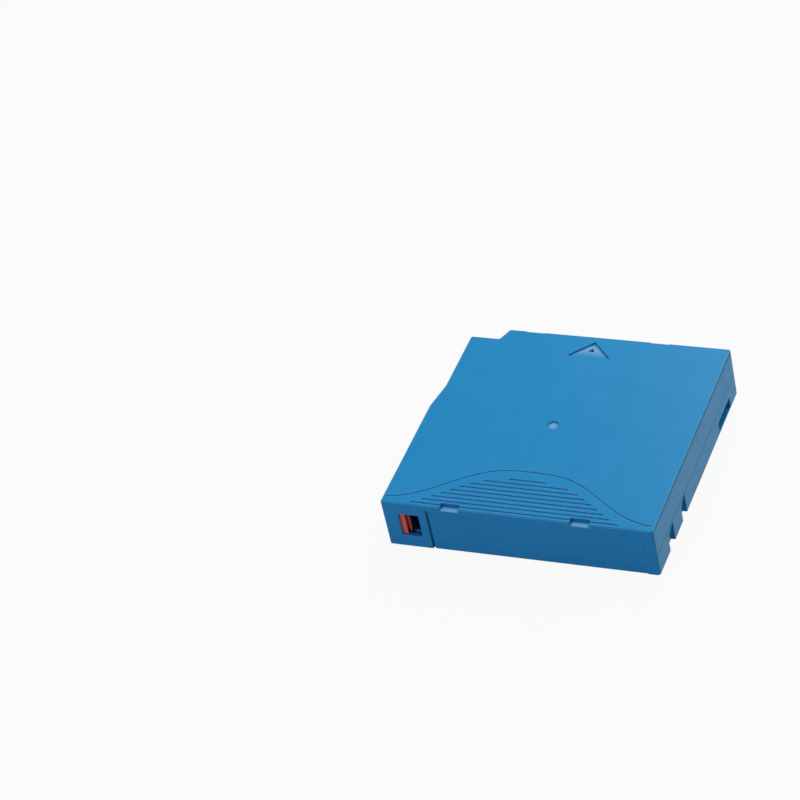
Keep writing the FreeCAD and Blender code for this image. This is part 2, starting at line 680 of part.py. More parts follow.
# ---- Lower shell ---------------------------------------------------------------------------------
def gripping_notches():
    """Two tapered notches in each side, open outwards and downwards."""
    first = -HALF_Y + NOTCH_FOOT
    second = first + FIRST_NOTCH + NOTCH_BLOCK
    cuts = []
    for start, length in ((first, FIRST_NOTCH), (second, SECOND_NOTCH)):
        for side in (-1, 1):
            out = side * (HALF_X + 1)
            foot = side * (HALF_X - NOTCH_DEPTH)
            head = side * (HALF_X - NOTCH_TOP_DEPTH)
            profile = [(out, 0), (foot, 0), (head, NOTCH_HEIGHT), (out, NOTCH_HEIGHT)]
            cuts.append(end_prism(profile, start, start + length))
    return cuts


def insertion_guide():
    """Long slot low in the right side, over a thin lip, and the thicker wall behind it."""
    end = HALF_Y - GUIDE_START
    start = end - GUIDE_LENGTH
    head = GUIDE_LIP + GUIDE_HEIGHT
    cut = block(HALF_X - GUIDE_DEPTH, HALF_X + 1, start, end, GUIDE_LIP, head)
    backing = block(HALF_X - GUIDE_DEPTH - GUIDE_WALL, WALL_X, start - GUIDE_WALL, end + GUIDE_WALL,
                    PLATE, head + GUIDE_WALL)
    return backing, cut


def locating_holes():
    """A round and an oblong blind hole near the front, with their bosses."""
    y = HALF_Y - LOCATOR_FROM_FRONT
    top = LOCATOR_DEPTH + LOCATOR_WALL
    bosses = []
    holes = []
    for x, spare in ((LOCATOR_X, 0.0), (-LOCATOR_X, LOCATOR_SLOT / 2)):
        side = LOCATOR_RADIUS + LOCATOR_WALL
        bosses.append(block(x - spare - side, x + spare + side, y - side, y + side, PLATE, top))
        holes.append(rod(LOCATOR_RADIUS, -1, LOCATOR_DEPTH, x + spare, y))
    x0 = -LOCATOR_X - LOCATOR_SLOT / 2
    bar = block(x0, x0 + LOCATOR_SLOT, y - LOCATOR_RADIUS, y + LOCATOR_RADIUS, -1, LOCATOR_DEPTH)
    holes[1] = fused(bar, [holes[1], rod(LOCATOR_RADIUS, -1, LOCATOR_DEPTH, x0, y)])
    return bosses, holes


def screw_holes():
    """Counterbore and clearance hole for each screw, from below."""
    seat = SCREW_SINK + SCREW_HEAD
    holes = []
    for x, y in SCREW_PLACES:
        holes.append(rod(SCREW_HEAD_RADIUS + SCREW_HEAD_GAP, -1, seat, x, y))
        holes.append(rod(SCREW_SHANK_RADIUS + SCREW_SHANK_GAP, seat - 1, JOINT_HEIGHT + 1, x, y))
    return holes


def board_ribs():
    """Two ribs whose slanted edges carry the memory board."""
    run = BOARD_HEIGHT / math.sqrt(2)
    right = HALF_X - BOARD_FROM_SIDE
    left = right - BOARD_LENGTH
    profile = [(-WALL_Y, PLATE), (-WALL_Y + run, PLATE), (-WALL_Y, PLATE + run)]
    return [side_prism(profile, x, x + RIB) for x in (left, right - RIB)]


def spigot(y0, y1):
    """Square peg on the door spring's axis."""
    half = SPIGOT / 2
    return block(SPRING_X - half, SPRING_X + half, y0, y1, SPRING_HEIGHT - half, SPRING_HEIGHT + half)


def spring_stop():
    """Post that the door spring pushes back on, with a spigot in the coil."""
    y = DOOR_REAR - DOOR_SPRING_LENGTH
    post = block(-WALL_X, SPRING_X + 1.2, y - SPRING_STOP, y, PLATE, SPRING_HEIGHT + 1.6)
    return [post, spigot(y, y + SPIGOT_LENGTH)]


def lower_shell():
    """Bottom plate and walls up to the parting plane, with seats for everything inside."""
    body = bevelled_case(0, JOINT_HEIGHT, 0, FOOT_BEVEL).cut(cavity(PLATE, JOINT_HEIGHT + 1))
    body = body.cut(label_wall_region(-1, JOINT_HEIGHT + 1))
    backing, guide = insertion_guide()
    locators, locator_holes = locating_holes()
    ribs = ring_arcs(PLATE, JOINT_HEIGHT - 1) + [pin_slot(PLATE, PLATE + SLOT_RIM)]
    ribs += [switch_rail(PLATE, WINDOW_BOTTOM - SWITCH_RAIL_CLEAR)] + board_ribs() + spring_stop()
    body = fused(body, ribs + locators + screw_blocks(PLATE, JOINT_HEIGHT) + [backing])
    cuts = [guide, seam_groove(), rod(SPINDLE_RADIUS, -1, PLATE + 1)]
    cuts += [door_groove(PLATE - DOOR_GROOVE, PLATE + 1)]
    cuts += locator_holes + screw_holes() + gripping_notches()
    cuts += front_notches(-1, STACK_NOTCH_DROP)
    return body.cut(cuts)


def case_screws():
    """The self-tapping screws, each with a round head and a hexagonal drive recess."""
    seat = SCREW_SINK + SCREW_HEAD
    screws = []
    for x, y in SCREW_PLACES:
        head = rod(SCREW_HEAD_RADIUS, SCREW_SINK, seat, x, y)
        shank = rod(SCREW_SHANK_RADIUS, seat, seat + SCREW_LENGTH, x, y)
        corners = [(x + RECESS_RADIUS * math.cos(math.radians(60 * i)),
                    y + RECESS_RADIUS * math.sin(math.radians(60 * i))) for i in range(6)]
        recess = prism(corners, SCREW_SINK - 1, SCREW_SINK + RECESS_DEPTH)
        screws.append(head.fuse(shank).cut(recess))
    return Part.makeCompound(screws)


# ---- Door ----------------------------------------------------------------------------------------
def access_door():
    """Flat door that runs in the plates' grooves, with a catch rib, a rounded nose and a spigot."""
    low = DOOR_LOW
    high = DOOR_HIGH
    panel = block(DOOR_X, DOOR_INNER_X, DOOR_REAR, DOOR_FRONT, low, high)
    nose = [e for e in panel.Edges if all(abs(v.Point.y - DOOR_FRONT) < 1e-6 for v in e.Vertexes)
            and e.BoundBox.ZLength > 1]
    panel = panel.makeFillet(DOOR * 0.35, nose)
    rib = block(DOOR_X - DOOR_GAP - DOOR_LIP, DOOR_X, DOOR_FRONT - DOOR_CATCH_INSET,
                DOOR_FRONT - DOOR_CATCH_INSET + DOOR_CATCH,
                PLATE + DOOR_GAP, ROOF - DOOR_GAP)
    return fused(panel, [rib, spigot(DOOR_REAR - SPIGOT_LENGTH, DOOR_REAR)])


def door_spring():
    """Long compression coil between the stop in the lower shell and the door's tail."""
    spring = coil(DOOR_COIL_RADIUS, DOOR_WIRE, DOOR_SPRING_LENGTH, DOOR_TURNS, 6, 4)
    spring.rotate(Vector(0, 0, 0), Vector(1, 0, 0), -90)
    spring.translate(Vector(SPRING_X, DOOR_REAR - DOOR_SPRING_LENGTH, SPRING_HEIGHT))
    return spring


# ---- Leader --------------------------------------------------------------------------------------
def leader_pin():
    """Turned steel pin with a disc at each end."""
    pin = turned([
        (0, PIN_BOTTOM), (PIN_END_RADIUS, PIN_BOTTOM), (PIN_END_RADIUS, PIN_BOTTOM + PIN_END),
        (PIN_RADIUS, PIN_BOTTOM + PIN_END), (PIN_RADIUS, PIN_TOP - PIN_END),
        (PIN_END_RADIUS, PIN_TOP - PIN_END), (PIN_END_RADIUS, PIN_TOP), (0, PIN_TOP),
    ])
    pin.translate(Vector(PIN_X, PIN_Y, 0))
    return pin


def film_line():
    """Where the film leaves the pack on the left and its direction to the pin."""
    radius = PACK_RADIUS + FILM / 2 + 0.02
    distance = math.hypot(PIN_X, PIN_Y)
    angle = math.atan2(PIN_Y, PIN_X) + math.acos(radius / distance)
    start = Vector(radius * math.cos(angle), radius * math.sin(angle), 0)
    return start, (Vector(PIN_X, PIN_Y, 0) - start).normalize()


def leader_tape():
    """Free run of film, straight from the pack to the pin."""
    start, run = film_line()
    end = Vector(PIN_X, PIN_Y, 0) - run * (PIN_RADIUS + 0.02)
    return prism(band([start, end], FILM), TAPE_Z, TAPE_TOP)


def leader_pin_clamp():
    """C-shaped clip round the pin; its mouth faces the film."""
    start, run = film_line()
    clip = tube(CLIP_RADIUS, PIN_RADIUS + CLIP_GAP, TAPE_Z, TAPE_TOP, PIN_X, PIN_Y)
    reach = CLIP_RADIUS * 2
    towards = math.atan2(-run.y, -run.x)
    half = math.radians(CLIP_MOUTH / 2)
    corners = [(PIN_X, PIN_Y)]
    corners += [(PIN_X + reach * math.cos(towards + a), PIN_Y + reach * math.sin(towards + a))
                for a in (-half, half)]
    return clip.cut(prism(corners, TAPE_Z - 1, TAPE_TOP + 1))


def pin_retaining_spring():
    """Bent leaf on the front wall: a web with one arm above and one below that press on the pin."""
    back = FRONT_STEP_Y - WALL - LEAF / 2
    right = PIN_X + LEAF_REACH / 2
    left = right - LEAF_REACH + LEAF_FOLD
    contact = PIN_END_RADIUS + LEAF / 2 + LEAF_GAP
    bearing = math.radians(LEAF_BEARING)
    touch = Vector(PIN_X - contact * math.cos(bearing), PIN_Y + contact * math.sin(bearing), 0)
    path = [Vector(right, back, 0), Vector(left, back, 0), Vector(left - 0.5, back - 0.9, 0), touch,
            touch + Vector(-0.9, -0.9, 0)]
    outline = band(path, LEAF)
    arms = [prism(outline, z, z + PIN_END * 0.85) for z in (PIN_BOTTOM + 0.1, PIN_TOP - 0.1 - PIN_END * 0.85)]
    web = block(right - LEAF_WEB, right, back - LEAF / 2, back + LEAF / 2, PIN_BOTTOM + 0.1, PIN_TOP - 0.1)
    return fused(web, arms)


# ---- Reel ----------------------------------------------------------------------------------------
def reel_hub():
    """Hub and lower flange in one moulding, with coupling teeth below and brake teeth on its floor."""
    body = turned([
        (0, BOSS_Z), (HUB_BOSS_RADIUS, BOSS_Z), (HUB_BOSS_RADIUS, REEL_Z), (FLANGE_RADIUS, REEL_Z),
        (FLANGE_RADIUS, REEL_Z + FLANGE), (HUB_RADIUS, REEL_Z + FLANGE), (HUB_RADIUS, UPPER_FLANGE_Z),
        (HUB_INNER, UPPER_FLANGE_Z), (HUB_INNER, FLOOR_TOP), (0, FLOOR_TOP),
    ])
    teeth = tooth_ring(COUPLING_TEETH, COUPLING_RADIUS, COUPLING_TOOTH_LENGTH, COUPLING_TOOTH_HEIGHT,
                       BOSS_Z, -1, skip=lambda angle: angle_from_arm(angle) < 8.0)
    stakes = radial_blocks(stake_radius(), STAKE_LENGTH, STAKE_WIDTH, BOSS_Z - PLATE_RING, BOSS_Z + 0.2, 30)
    body = fused(body, teeth + stakes + brake_arcs())
    foot_holes = radial_blocks(COUPLING_RADIUS, FOOT_LENGTH + 2 * FOOT_GAP, FOOT_WIDTH + 2 * FOOT_GAP,
                               BOSS_Z - 3, FLOOR_TOP + 1)
    return body.cut(foot_holes)


def radial_blocks(radius, length, width, z0, z1, phase=90.0):
    """Equal blocks on a circle, one to each arm of the release pad."""
    one = block(radius - length / 2, radius + length / 2, -width / 2, width / 2, z0, z1)
    return [rotated(one, phase + 360.0 * i / ARMS) for i in range(ARMS)]


def brake_arcs():
    """Raised toothed arcs on the hub floor, between the arms of the release pad."""
    middle = (BRAKE_INNER + BRAKE_OUTER) / 2
    length = BRAKE_OUTER - BRAKE_INNER
    sector = 360.0 / ARMS
    edge = sector / 2 - BRAKE_ARC / 2
    ring = tube(BRAKE_OUTER, BRAKE_INNER, FLOOR_TOP - 0.2, BRAKE_ROOT)
    reach = BRAKE_OUTER * 2
    arcs = []
    for i in range(ARMS):
        a = math.radians(90 + i * sector + edge)
        b = math.radians(90 + (i + 1) * sector - edge)
        wedge = prism([(0, 0), (reach * math.cos(a), reach * math.sin(a)),
                       (reach * math.cos(b), reach * math.sin(b))], FLOOR_TOP - 1, BRAKE_ROOT + 1)
        arcs.append(ring.common(wedge))
    teeth = tooth_ring(BRAKE_TEETH, middle, length, BRAKE_TOOTH_HEIGHT, BRAKE_ROOT, 1,
                       skip=lambda angle: angle_from_arm(angle) < edge + 3.0)
    return arcs + teeth


def stake_radius():
    """Middle of the clutch plate's face, where its stakes are."""
    return (PLATE_RING_INNER + PLATE_RING_OUTER) / 2


def reel_upper_flange():
    """Upper flange, welded to the top of the hub."""
    return tube(FLANGE_RADIUS, HUB_INNER, UPPER_FLANGE_Z, UPPER_FLANGE_Z + FLANGE)


def clutch_plate():
    """Steel ring under the hub, held by three stakes, that the drive's magnet pulls."""
    ring = tube(PLATE_RING_OUTER, PLATE_RING_INNER, BOSS_Z - PLATE_RING, BOSS_Z)
    holes = radial_blocks(stake_radius(), STAKE_LENGTH + 2 * STAKE_GAP, STAKE_WIDTH + 2 * STAKE_GAP,
                          BOSS_Z - 3, BOSS_Z + 1, 30)
    return ring.cut(holes)


def tape_pack():
    """Wound film between the flanges."""
    return tube(PACK_RADIUS, HUB_RADIUS + 0.02, TAPE_Z, TAPE_TOP)


# ---- Brake ---------------------------------------------------------------------------------------
def brake_button():
    """Toothed disc with a keyed guide tube above and a pusher boss below."""
    disc = rod(BRAKE_DISC_RADIUS, DISC_Z, DISC_TOP)
    boss = rod(PAD_CENTRE_RADIUS - 1, PAD_TOP + TOOTH_ROOT_GAP, DISC_Z)
    guide = rod(GUIDE_TUBE_RADIUS, DISC_TOP, TUBE_TOP)
    teeth = tooth_ring(BRAKE_TEETH, (BRAKE_INNER + BRAKE_OUTER) / 2, BRAKE_OUTER - BRAKE_INNER,
                       BRAKE_TOOTH_HEIGHT, DISC_Z, -1, phase=180.0 / BRAKE_TEETH)
    body = fused(disc, [boss, guide] + teeth)
    span = KEY_SPAN / 2 + KEY_GAP
    half = KEY_THICKNESS / 2 + KEY_GAP
    floor = KEY_BOTTOM - BRAKE_TRAVEL - KEY_FLOOR_GAP
    keyway = [block(-span, span, -half, half, floor, TUBE_TOP + 1),
              block(-half, half, -span, span, floor, TUBE_TOP + 1)]
    return body.cut(keyway)


def brake_spring():
    """Coil between the brake button and the roof."""
    spring = coil(BRAKE_COIL_RADIUS, BRAKE_WIRE, ROOF - DISC_TOP, BRAKE_TURNS, 12, 4)
    spring.translate(Vector(0, 0, DISC_TOP))
    return spring


def brake_release_pad():
    """Three-armed lifter whose feet reach down through the hub floor into the tooth ring."""
    hub = rod(PAD_CENTRE_RADIUS, PAD_Z, PAD_TOP)
    foot_bottom = BOSS_Z - COUPLING_TOOTH_HEIGHT + 0.15
    reach = COUPLING_RADIUS + FOOT_LENGTH / 2
    arms = radial_blocks(reach / 2, reach, PAD_ARM, PAD_Z, PAD_TOP)
    feet = radial_blocks(COUPLING_RADIUS, FOOT_LENGTH, FOOT_WIDTH, foot_bottom, PAD_TOP)
    return fused(hub, arms + feet)


# ---- Write-protect switch ------------------------------------------------------------------------
def write_protect_switch():
    """Slider behind the label wall with a nub in the window."""
    x0 = WINDOW_X + SWITCH_GAP / 2
    low = WINDOW_BOTTOM + SWITCH_GAP
    high = WINDOW_BOTTOM + WINDOW_HEIGHT - SWITCH_GAP
    nub = end_prism([(x0, low), (x0 + SWITCH_NUB, low), (x0 + SWITCH_NUB, high), (x0, high)],
                    -HALF_Y + SWITCH_NUB_SET_BACK, SWITCH_Y)
    mid = x0 + SWITCH_NUB / 2
    plate = block(mid - SWITCH_LENGTH / 2, mid + SWITCH_LENGTH / 2, SWITCH_Y, SWITCH_Y + SWITCH_PLATE,
                  PLATE + SWITCH_GAP, ROOF - SWITCH_GAP)
    return fused(plate, [nub])


# ---- Cartridge memory ----------------------------------------------------------------------------
def tilted(shape):
    """Puts something made flat on z = 0 (x along the board, y up its slope) onto the slanted ribs."""
    shape.rotate(Vector(0, 0, 0), Vector(1, 0, 0), 135)
    run = BOARD_HEIGHT / math.sqrt(2)
    shape.translate(Vector(HALF_X - BOARD_FROM_SIDE - BOARD_LENGTH, -WALL_Y + run, PLATE))
    return shape


def memory_board():
    """Small circuit board at 45 degrees to the underside and the label wall."""
    return tilted(Part.makeBox(BOARD_LENGTH, BOARD_HEIGHT, BOARD, Vector(0, 0, -BOARD)))


def memory_antenna_coil():
    """Flat rectangular spiral of copper on the outer face of the board."""
    pitch = TRACE * 2
    points = []
    for i in range(TRACE_TURNS):
        near = TRACE_MARGIN + i * pitch
        outer = near - pitch if i else near
        far_x = BOARD_LENGTH - near
        far_y = BOARD_HEIGHT - near
        points += [Vector(outer, near, 0), Vector(far_x, near, 0), Vector(far_x, far_y, 0),
                   Vector(near, far_y, 0)]
    return tilted(prism(band(points, TRACE), 0, TRACE_THICKNESS))


def memory_chip():
    """Potted chip on the inner face of the board."""
    x = BOARD_LENGTH / 2
    y = BOARD_HEIGHT / 2
    corner = Vector(x - CHIP_SIZE / 2, y - CHIP_SIZE / 2, -BOARD - CHIP)
    chip = Part.makeBox(CHIP_SIZE, CHIP_SIZE, CHIP, corner)
    return tilted(chip.makeChamfer(0.2, chip.Edges))


PIECES = [
    upper_shell, lower_shell, case_screws, access_door, door_spring, leader_pin, leader_pin_clamp,
    pin_retaining_spring, leader_tape, tape_pack, reel_hub, reel_upper_flange, clutch_plate,
    brake_button, brake_spring, brake_release_pad, write_protect_switch, memory_board,
    memory_antenna_coil, memory_chip,
]


def main():
    """Builds every piece and writes it to its own file."""
    os.makedirs("parts", exist_ok=True)
    for piece in PIECES:
        shape = piece()
        print(piece.__name__, len(shape.Solids), shape.isValid(), round(shape.Volume, 1))
        shape.exportStep(f"parts/{piece.__name__}.step")


main()
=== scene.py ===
"""Looks of a single-reel data tape cartridge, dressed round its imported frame.

Lengths are metres in the frame's own axes: +X to the right, +Y towards the end that enters the
drive, +Z up. The label wall faces -Y and the sliding access door is at the front of the -X side.
"""
from __future__ import annotations

import json
import logging
from dataclasses import dataclass
from enum import Enum
from typing import Any

import bpy
import numpy as np
from mathutils import Matrix, Vector

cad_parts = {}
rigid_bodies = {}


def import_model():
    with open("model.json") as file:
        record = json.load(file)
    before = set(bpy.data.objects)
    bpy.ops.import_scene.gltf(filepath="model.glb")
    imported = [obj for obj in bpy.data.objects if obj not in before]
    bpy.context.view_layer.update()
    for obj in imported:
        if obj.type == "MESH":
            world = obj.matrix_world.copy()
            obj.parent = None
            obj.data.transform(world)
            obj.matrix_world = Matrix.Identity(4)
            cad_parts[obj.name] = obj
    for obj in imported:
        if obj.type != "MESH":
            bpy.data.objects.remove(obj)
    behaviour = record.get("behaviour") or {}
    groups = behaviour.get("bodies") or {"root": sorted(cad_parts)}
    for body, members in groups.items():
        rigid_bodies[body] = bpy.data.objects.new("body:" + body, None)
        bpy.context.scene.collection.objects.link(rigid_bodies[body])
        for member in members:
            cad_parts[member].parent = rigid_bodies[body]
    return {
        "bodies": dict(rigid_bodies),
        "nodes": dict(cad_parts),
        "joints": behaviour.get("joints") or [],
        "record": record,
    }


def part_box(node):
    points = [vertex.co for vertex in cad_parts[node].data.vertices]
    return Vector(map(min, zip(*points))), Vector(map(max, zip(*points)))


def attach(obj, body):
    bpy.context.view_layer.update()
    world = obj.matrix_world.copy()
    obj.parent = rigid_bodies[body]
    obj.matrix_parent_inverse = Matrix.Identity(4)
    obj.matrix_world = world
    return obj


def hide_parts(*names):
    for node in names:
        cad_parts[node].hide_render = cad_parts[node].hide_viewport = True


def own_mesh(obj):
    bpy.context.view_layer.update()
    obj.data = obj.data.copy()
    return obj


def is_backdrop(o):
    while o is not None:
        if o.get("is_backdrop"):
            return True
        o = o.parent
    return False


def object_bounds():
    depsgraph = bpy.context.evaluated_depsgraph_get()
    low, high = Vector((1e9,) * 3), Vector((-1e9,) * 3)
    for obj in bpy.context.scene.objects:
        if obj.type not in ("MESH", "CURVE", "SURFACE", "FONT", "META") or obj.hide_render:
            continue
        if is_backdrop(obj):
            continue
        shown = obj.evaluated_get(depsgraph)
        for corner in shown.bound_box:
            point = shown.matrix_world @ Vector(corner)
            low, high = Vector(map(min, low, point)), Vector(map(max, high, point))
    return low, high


MM = 0.001
LOG = logging.getLogger("cartridge")

Colour = tuple[float, float, float]


def paint(red: int, green: int, blue: int) -> Colour:
    """Turns display values into a linear colour.

    Each channel v in 0..1 becomes ((v + 0.055) / 1.055) ** 2.4, or v / 12.92 near black.

    Args:
        red: Display value of red, 0 to 255.
        green: Display value of green, 0 to 255.
        blue: Display value of blue, 0 to 255.

    Returns:
        The three linear channels.
    """
    shares = [value / 255 for value in (red, green, blue)]
    linear = [v / 12.92 if v < 0.04045 else ((v + 0.055) / 1.055) ** 2.4 for v in shares]
    return (linear[0], linear[1], linear[2])


def between(first: Colour, second: Colour, share: float) -> Colour:
    """Blends two linear colours evenly.

    Args:
        first: Colour at share 0.
        second: Colour at share 1.
        share: How far towards the second colour.

    Returns:
        The blend.
    """
    mixed = [a + (b - a) * share for a, b in zip(first, second)]
    return (mixed[0], mixed[1], mixed[2])


BLACK: Colour = (0.0, 0.0, 0.0)
WHITE: Colour = (1.0, 1.0, 1.0)


# ---- Shader writing --------------------------------------------------------------------------

EDGE_FLOOR = 0.06                # taken off the edge mask, so that curved faces stay out of it
LEVEL = 0.98                     # upward part of a normal from which a face counts as level
FULL_TURN = 6.2832               # radians
OIL_TARNISH: Colour = (0.20, 0.14, 0.09)
COPPER_TARNISH: Colour = (0.12, 0.05, 0.03)


class Value:
    """A shader socket that takes part in Python arithmetic by adding Math nodes."""

    def __init__(self, graph: Graph, socket: bpy.types.NodeSocket) -> None:
        """Wraps one output socket of a graph."""
        self.graph = graph
        self.socket = socket

    def _math(self, operation: str, *terms: Value | float) -> Value:
        """One Math node on the terms, in order."""
        return self.graph.node("ShaderNodeMath", {"operation": operation}, dict(enumerate(terms)))

    def __add__(self, other: Value | float) -> Value:
        """self + other."""
        return self._math("ADD", self, other)

    def __radd__(self, other: float) -> Value:
        """other + self."""
        return self._math("ADD", other, self)

    def __sub__(self, other: Value | float) -> Value:
        """self - other."""
        return self._math("SUBTRACT", self, other)

    def __rsub__(self, other: float) -> Value:
        """other - self."""
        return self._math("SUBTRACT", other, self)

    def __mul__(self, other: Value | float) -> Value:
        """self * other."""
        return self._math("MULTIPLY", self, other)

    def __truediv__(self, other: Value | float) -> Value:
        """self / other."""
        return self._math("DIVIDE", self, other)

    def __pow__(self, other: Value | float) -> Value:
        """self to the power of other."""
        return self._math("POWER", self, other)

    def sine(self) -> Value:
        """Sine of the value in radians."""
        return self._math("SINE", self)

    def clamped(self) -> Value:
        """The value held between 0 and 1."""
        return self.graph.node("ShaderNodeClamp", {}, {"Value": self})

    def above(self, start: float, gain: float) -> Value:
        """(self - start) * gain, held between 0 and 1."""
        return ((self - start) * gain).clamped()

    def under(self, start: float, gain: float) -> Value:
        """(start - self) * gain, held between 0 and 1."""
        return ((start - self) * gain).clamped()

    def output(self, name: str) -> Value:
        """Another output of the same node."""
        return Value(self.graph, self.socket.node.outputs[name])


class Graph:
    """A node tree that is being written: a material's or the world's."""

    def __init__(self, tree: bpy.types.NodeTree) -> None:
        """Takes over a tree and empties it."""
        tree.nodes.clear()
        self.tree = tree

    def node(self, kind: str, settings: dict[str, Any], inputs: dict[int | str, Any],
             output: int | str = 0) -> Value:
        """Adds one node.

        Args:
            kind: The node's type.
            settings: Its properties, set before its sockets.
            inputs: A number, colour, vector or Value for each named or numbered input.
            output: Which output to return.

        Returns:
            The chosen output, ready for arithmetic.
        """
        node = self.tree.nodes.new(kind)
        for name, setting in settings.items():
            setattr(node, name, setting)
        for key, given in inputs.items():
            socket = node.inputs[key]
            if isinstance(given, Value):
                self.tree.links.new(given.socket, socket)
            elif socket.type == "RGBA":
                socket.default_value = (*given, 1.0)
            else:
                socket.default_value = given
        return Value(self, node.outputs[output] if node.outputs else None)

    def place(self) -> Value:
        """Object coordinates, in metres."""
        return self.node("ShaderNodeTexCoord", {}, {}, "Object")

    def wire_place(self) -> Value:
        """The piece's own map: millimetres along and round a wire."""
        return self.node("ShaderNodeUVMap", {"uv_map": WIRE_MAP}, {})

    def stretched(self, vector: Value, sizes: tuple[float, float, float],
                  turn: tuple[float, float, float] = (0.0, 0.0, 0.0)) -> Value:
        """Coordinates counted in cells of their own size on each axis.

        Args:
            vector: Coordinates to start from.
            sizes: Cell size on each axis, after the turn.
            turn: Euler angles that the coordinates turn by first.

        Returns:
            The turned coordinates divided by the sizes.
        """
        turned = self.node("ShaderNodeMapping", {}, {"Vector": vector, "Rotation": turn})
        counts = tuple(1.0 / size for size in sizes)
        return self.node("ShaderNodeVectorMath", {"operation": "MULTIPLY"}, {0: turned, 1: counts})

    def noise(self, vector: Value, size: float, detail: float = 2.0, blur: float = 0.5) -> Value:
        """Soft noise between 0 and 1, around 0.5.

        Args:
            vector: Coordinates.
            size: Size of its lumps, in the coordinates' unit.
            detail: Octaves of finer lumps.
            blur: How strong each finer octave is.

        Returns:
            The noise value.
        """
        return self.node("ShaderNodeTexNoise", {}, {
            "Vector": vector, "Scale": 1.0 / size, "Detail": detail, "Roughness": blur})

    def mix(self, factor: Value | float, first: Value | Colour, second: Value | Colour) -> Value:
        """A colour between two others.

        Args:
            factor: 0 for the first, 1 for the second.
            first: First colour.
            second: Second colour.

        Returns:
            The mixed colour.
        """
        return self.node("ShaderNodeMix", {"data_type": "RGBA"},
                         {0: factor, 6: first, 7: second}, 2)

    def rounded(self, radius: float) -> Value:
        """The normal of a surface whose sharp edges are eased by a small radius."""
        return self.node("ShaderNodeBevel", {"samples": 4}, {"Radius": radius})

    def face(self) -> Value:
        """The flat face's own normal."""
        return self.node("ShaderNodeNewGeometry", {}, {}, "True Normal")

    def edges(self, eased: Value, gain: float = 5.0) -> Value:
        """Where the eased normal leaves the face: gain * (1 - eased . face) - EDGE_FLOOR, clamped.

        Args:
            eased: Normal from rounded().
            gain: How quickly the mask fills towards an edge.

        Returns:
            A mask that is 1 on sharp edges.
        """
        dot = self.node("ShaderNodeVectorMath", {"operation": "DOT_PRODUCT"},
                        {0: eased, 1: self.face()}, "Value")
        return ((1.0 - dot) * gain - EDGE_FLOOR).clamped()

    def openness(self, reach: float, alone: bool = True) -> Value:
        """How open a face is, from 0 to 1.

        Args:
            reach: Distance within which walls close it in.
            alone: Whether only the piece's own walls count.

        Returns:
            1 on open faces, less in grooves, corners and deep recesses.
        """
        return self.node("ShaderNodeAmbientOcclusion", {"samples": 8, "only_local": alone},
                         {"Distance": reach}, "AO")

    def height(self) -> Value:
        """Height in the piece's own coordinates, in metres."""
        return self.node("ShaderNodeSeparateXYZ", {}, {0: self.place()}, "Z")

    def upward(self) -> Value:
        """1 where a face looks almost straight up, else 0."""
        lift = self.node("ShaderNodeSeparateXYZ", {}, {0: self.face()}, "Z")
        return lift.above(LEVEL, 1000)

    def bump(self, height: Value, depth: float, normal: Value | None = None) -> Value:
        """Relief of the surface.

        Args:
            height: Relief from 0 to 1.
            depth: Metres between 0 and 1.
            normal: Normal to start from.

        Returns:
            The relieved normal.
        """
        inputs: dict[int | str, Any] = {"Height": height, "Distance": depth, "Strength": 1.0}
        if normal is not None:
            inputs["Normal"] = normal
        return self.node("ShaderNodeBump", {}, inputs, "Normal")

    def surface(self, inputs: dict[str, Any]) -> None:
        """Ends a material with a Principled shader that takes these inputs."""
        shader = self.node("ShaderNodeBsdfPrincipled", {}, dict(inputs))
        self.node("ShaderNodeOutputMaterial", {}, {"Surface": shader})


@dataclass(frozen=True)
class Finish:
    """A named material with its main colour. Each kind of finish says how it is written."""

    name: str
    colour: Colour

    def write(self, graph: Graph) -> None:
        """Writes the finish's nodes."""
        raise NotImplementedError

    def material(self) -> bpy.types.Material:
        """The finish as a material, made once."""
        known = bpy.data.materials.get(self.name)
        if known is not None:
            return known
        made = bpy.data.materials.new(self.name)
        made.use_nodes = True
        self.write(Graph(made.node_tree))
        return made


# ---- Finishes --------------------------------------------------------------------------------


class Grain(Enum):
    """Surface that the mould was given: size of its grains and their depth."""

    SPARKED = (0.32 * MM, 0.010 * MM)
    SATIN = (0.22 * MM, 0.004 * MM)
    POLISHED = (0.9 * MM, 0.002 * MM)

    @property
    def size(self) -> float:
        """Size of one grain."""
        return self.value[0]

    @property
    def depth(self) -> float:
        """Depth of the relief."""
        return self.value[1]


FLOW_MARK = 14 * MM              # size of the melt's flow marks
SCUFF = (9 * MM, 0.5 * MM, 0.5 * MM)
SCUFF_TURN = (0.1, 0.0, 0.6)     # direction of the scuffs, radians


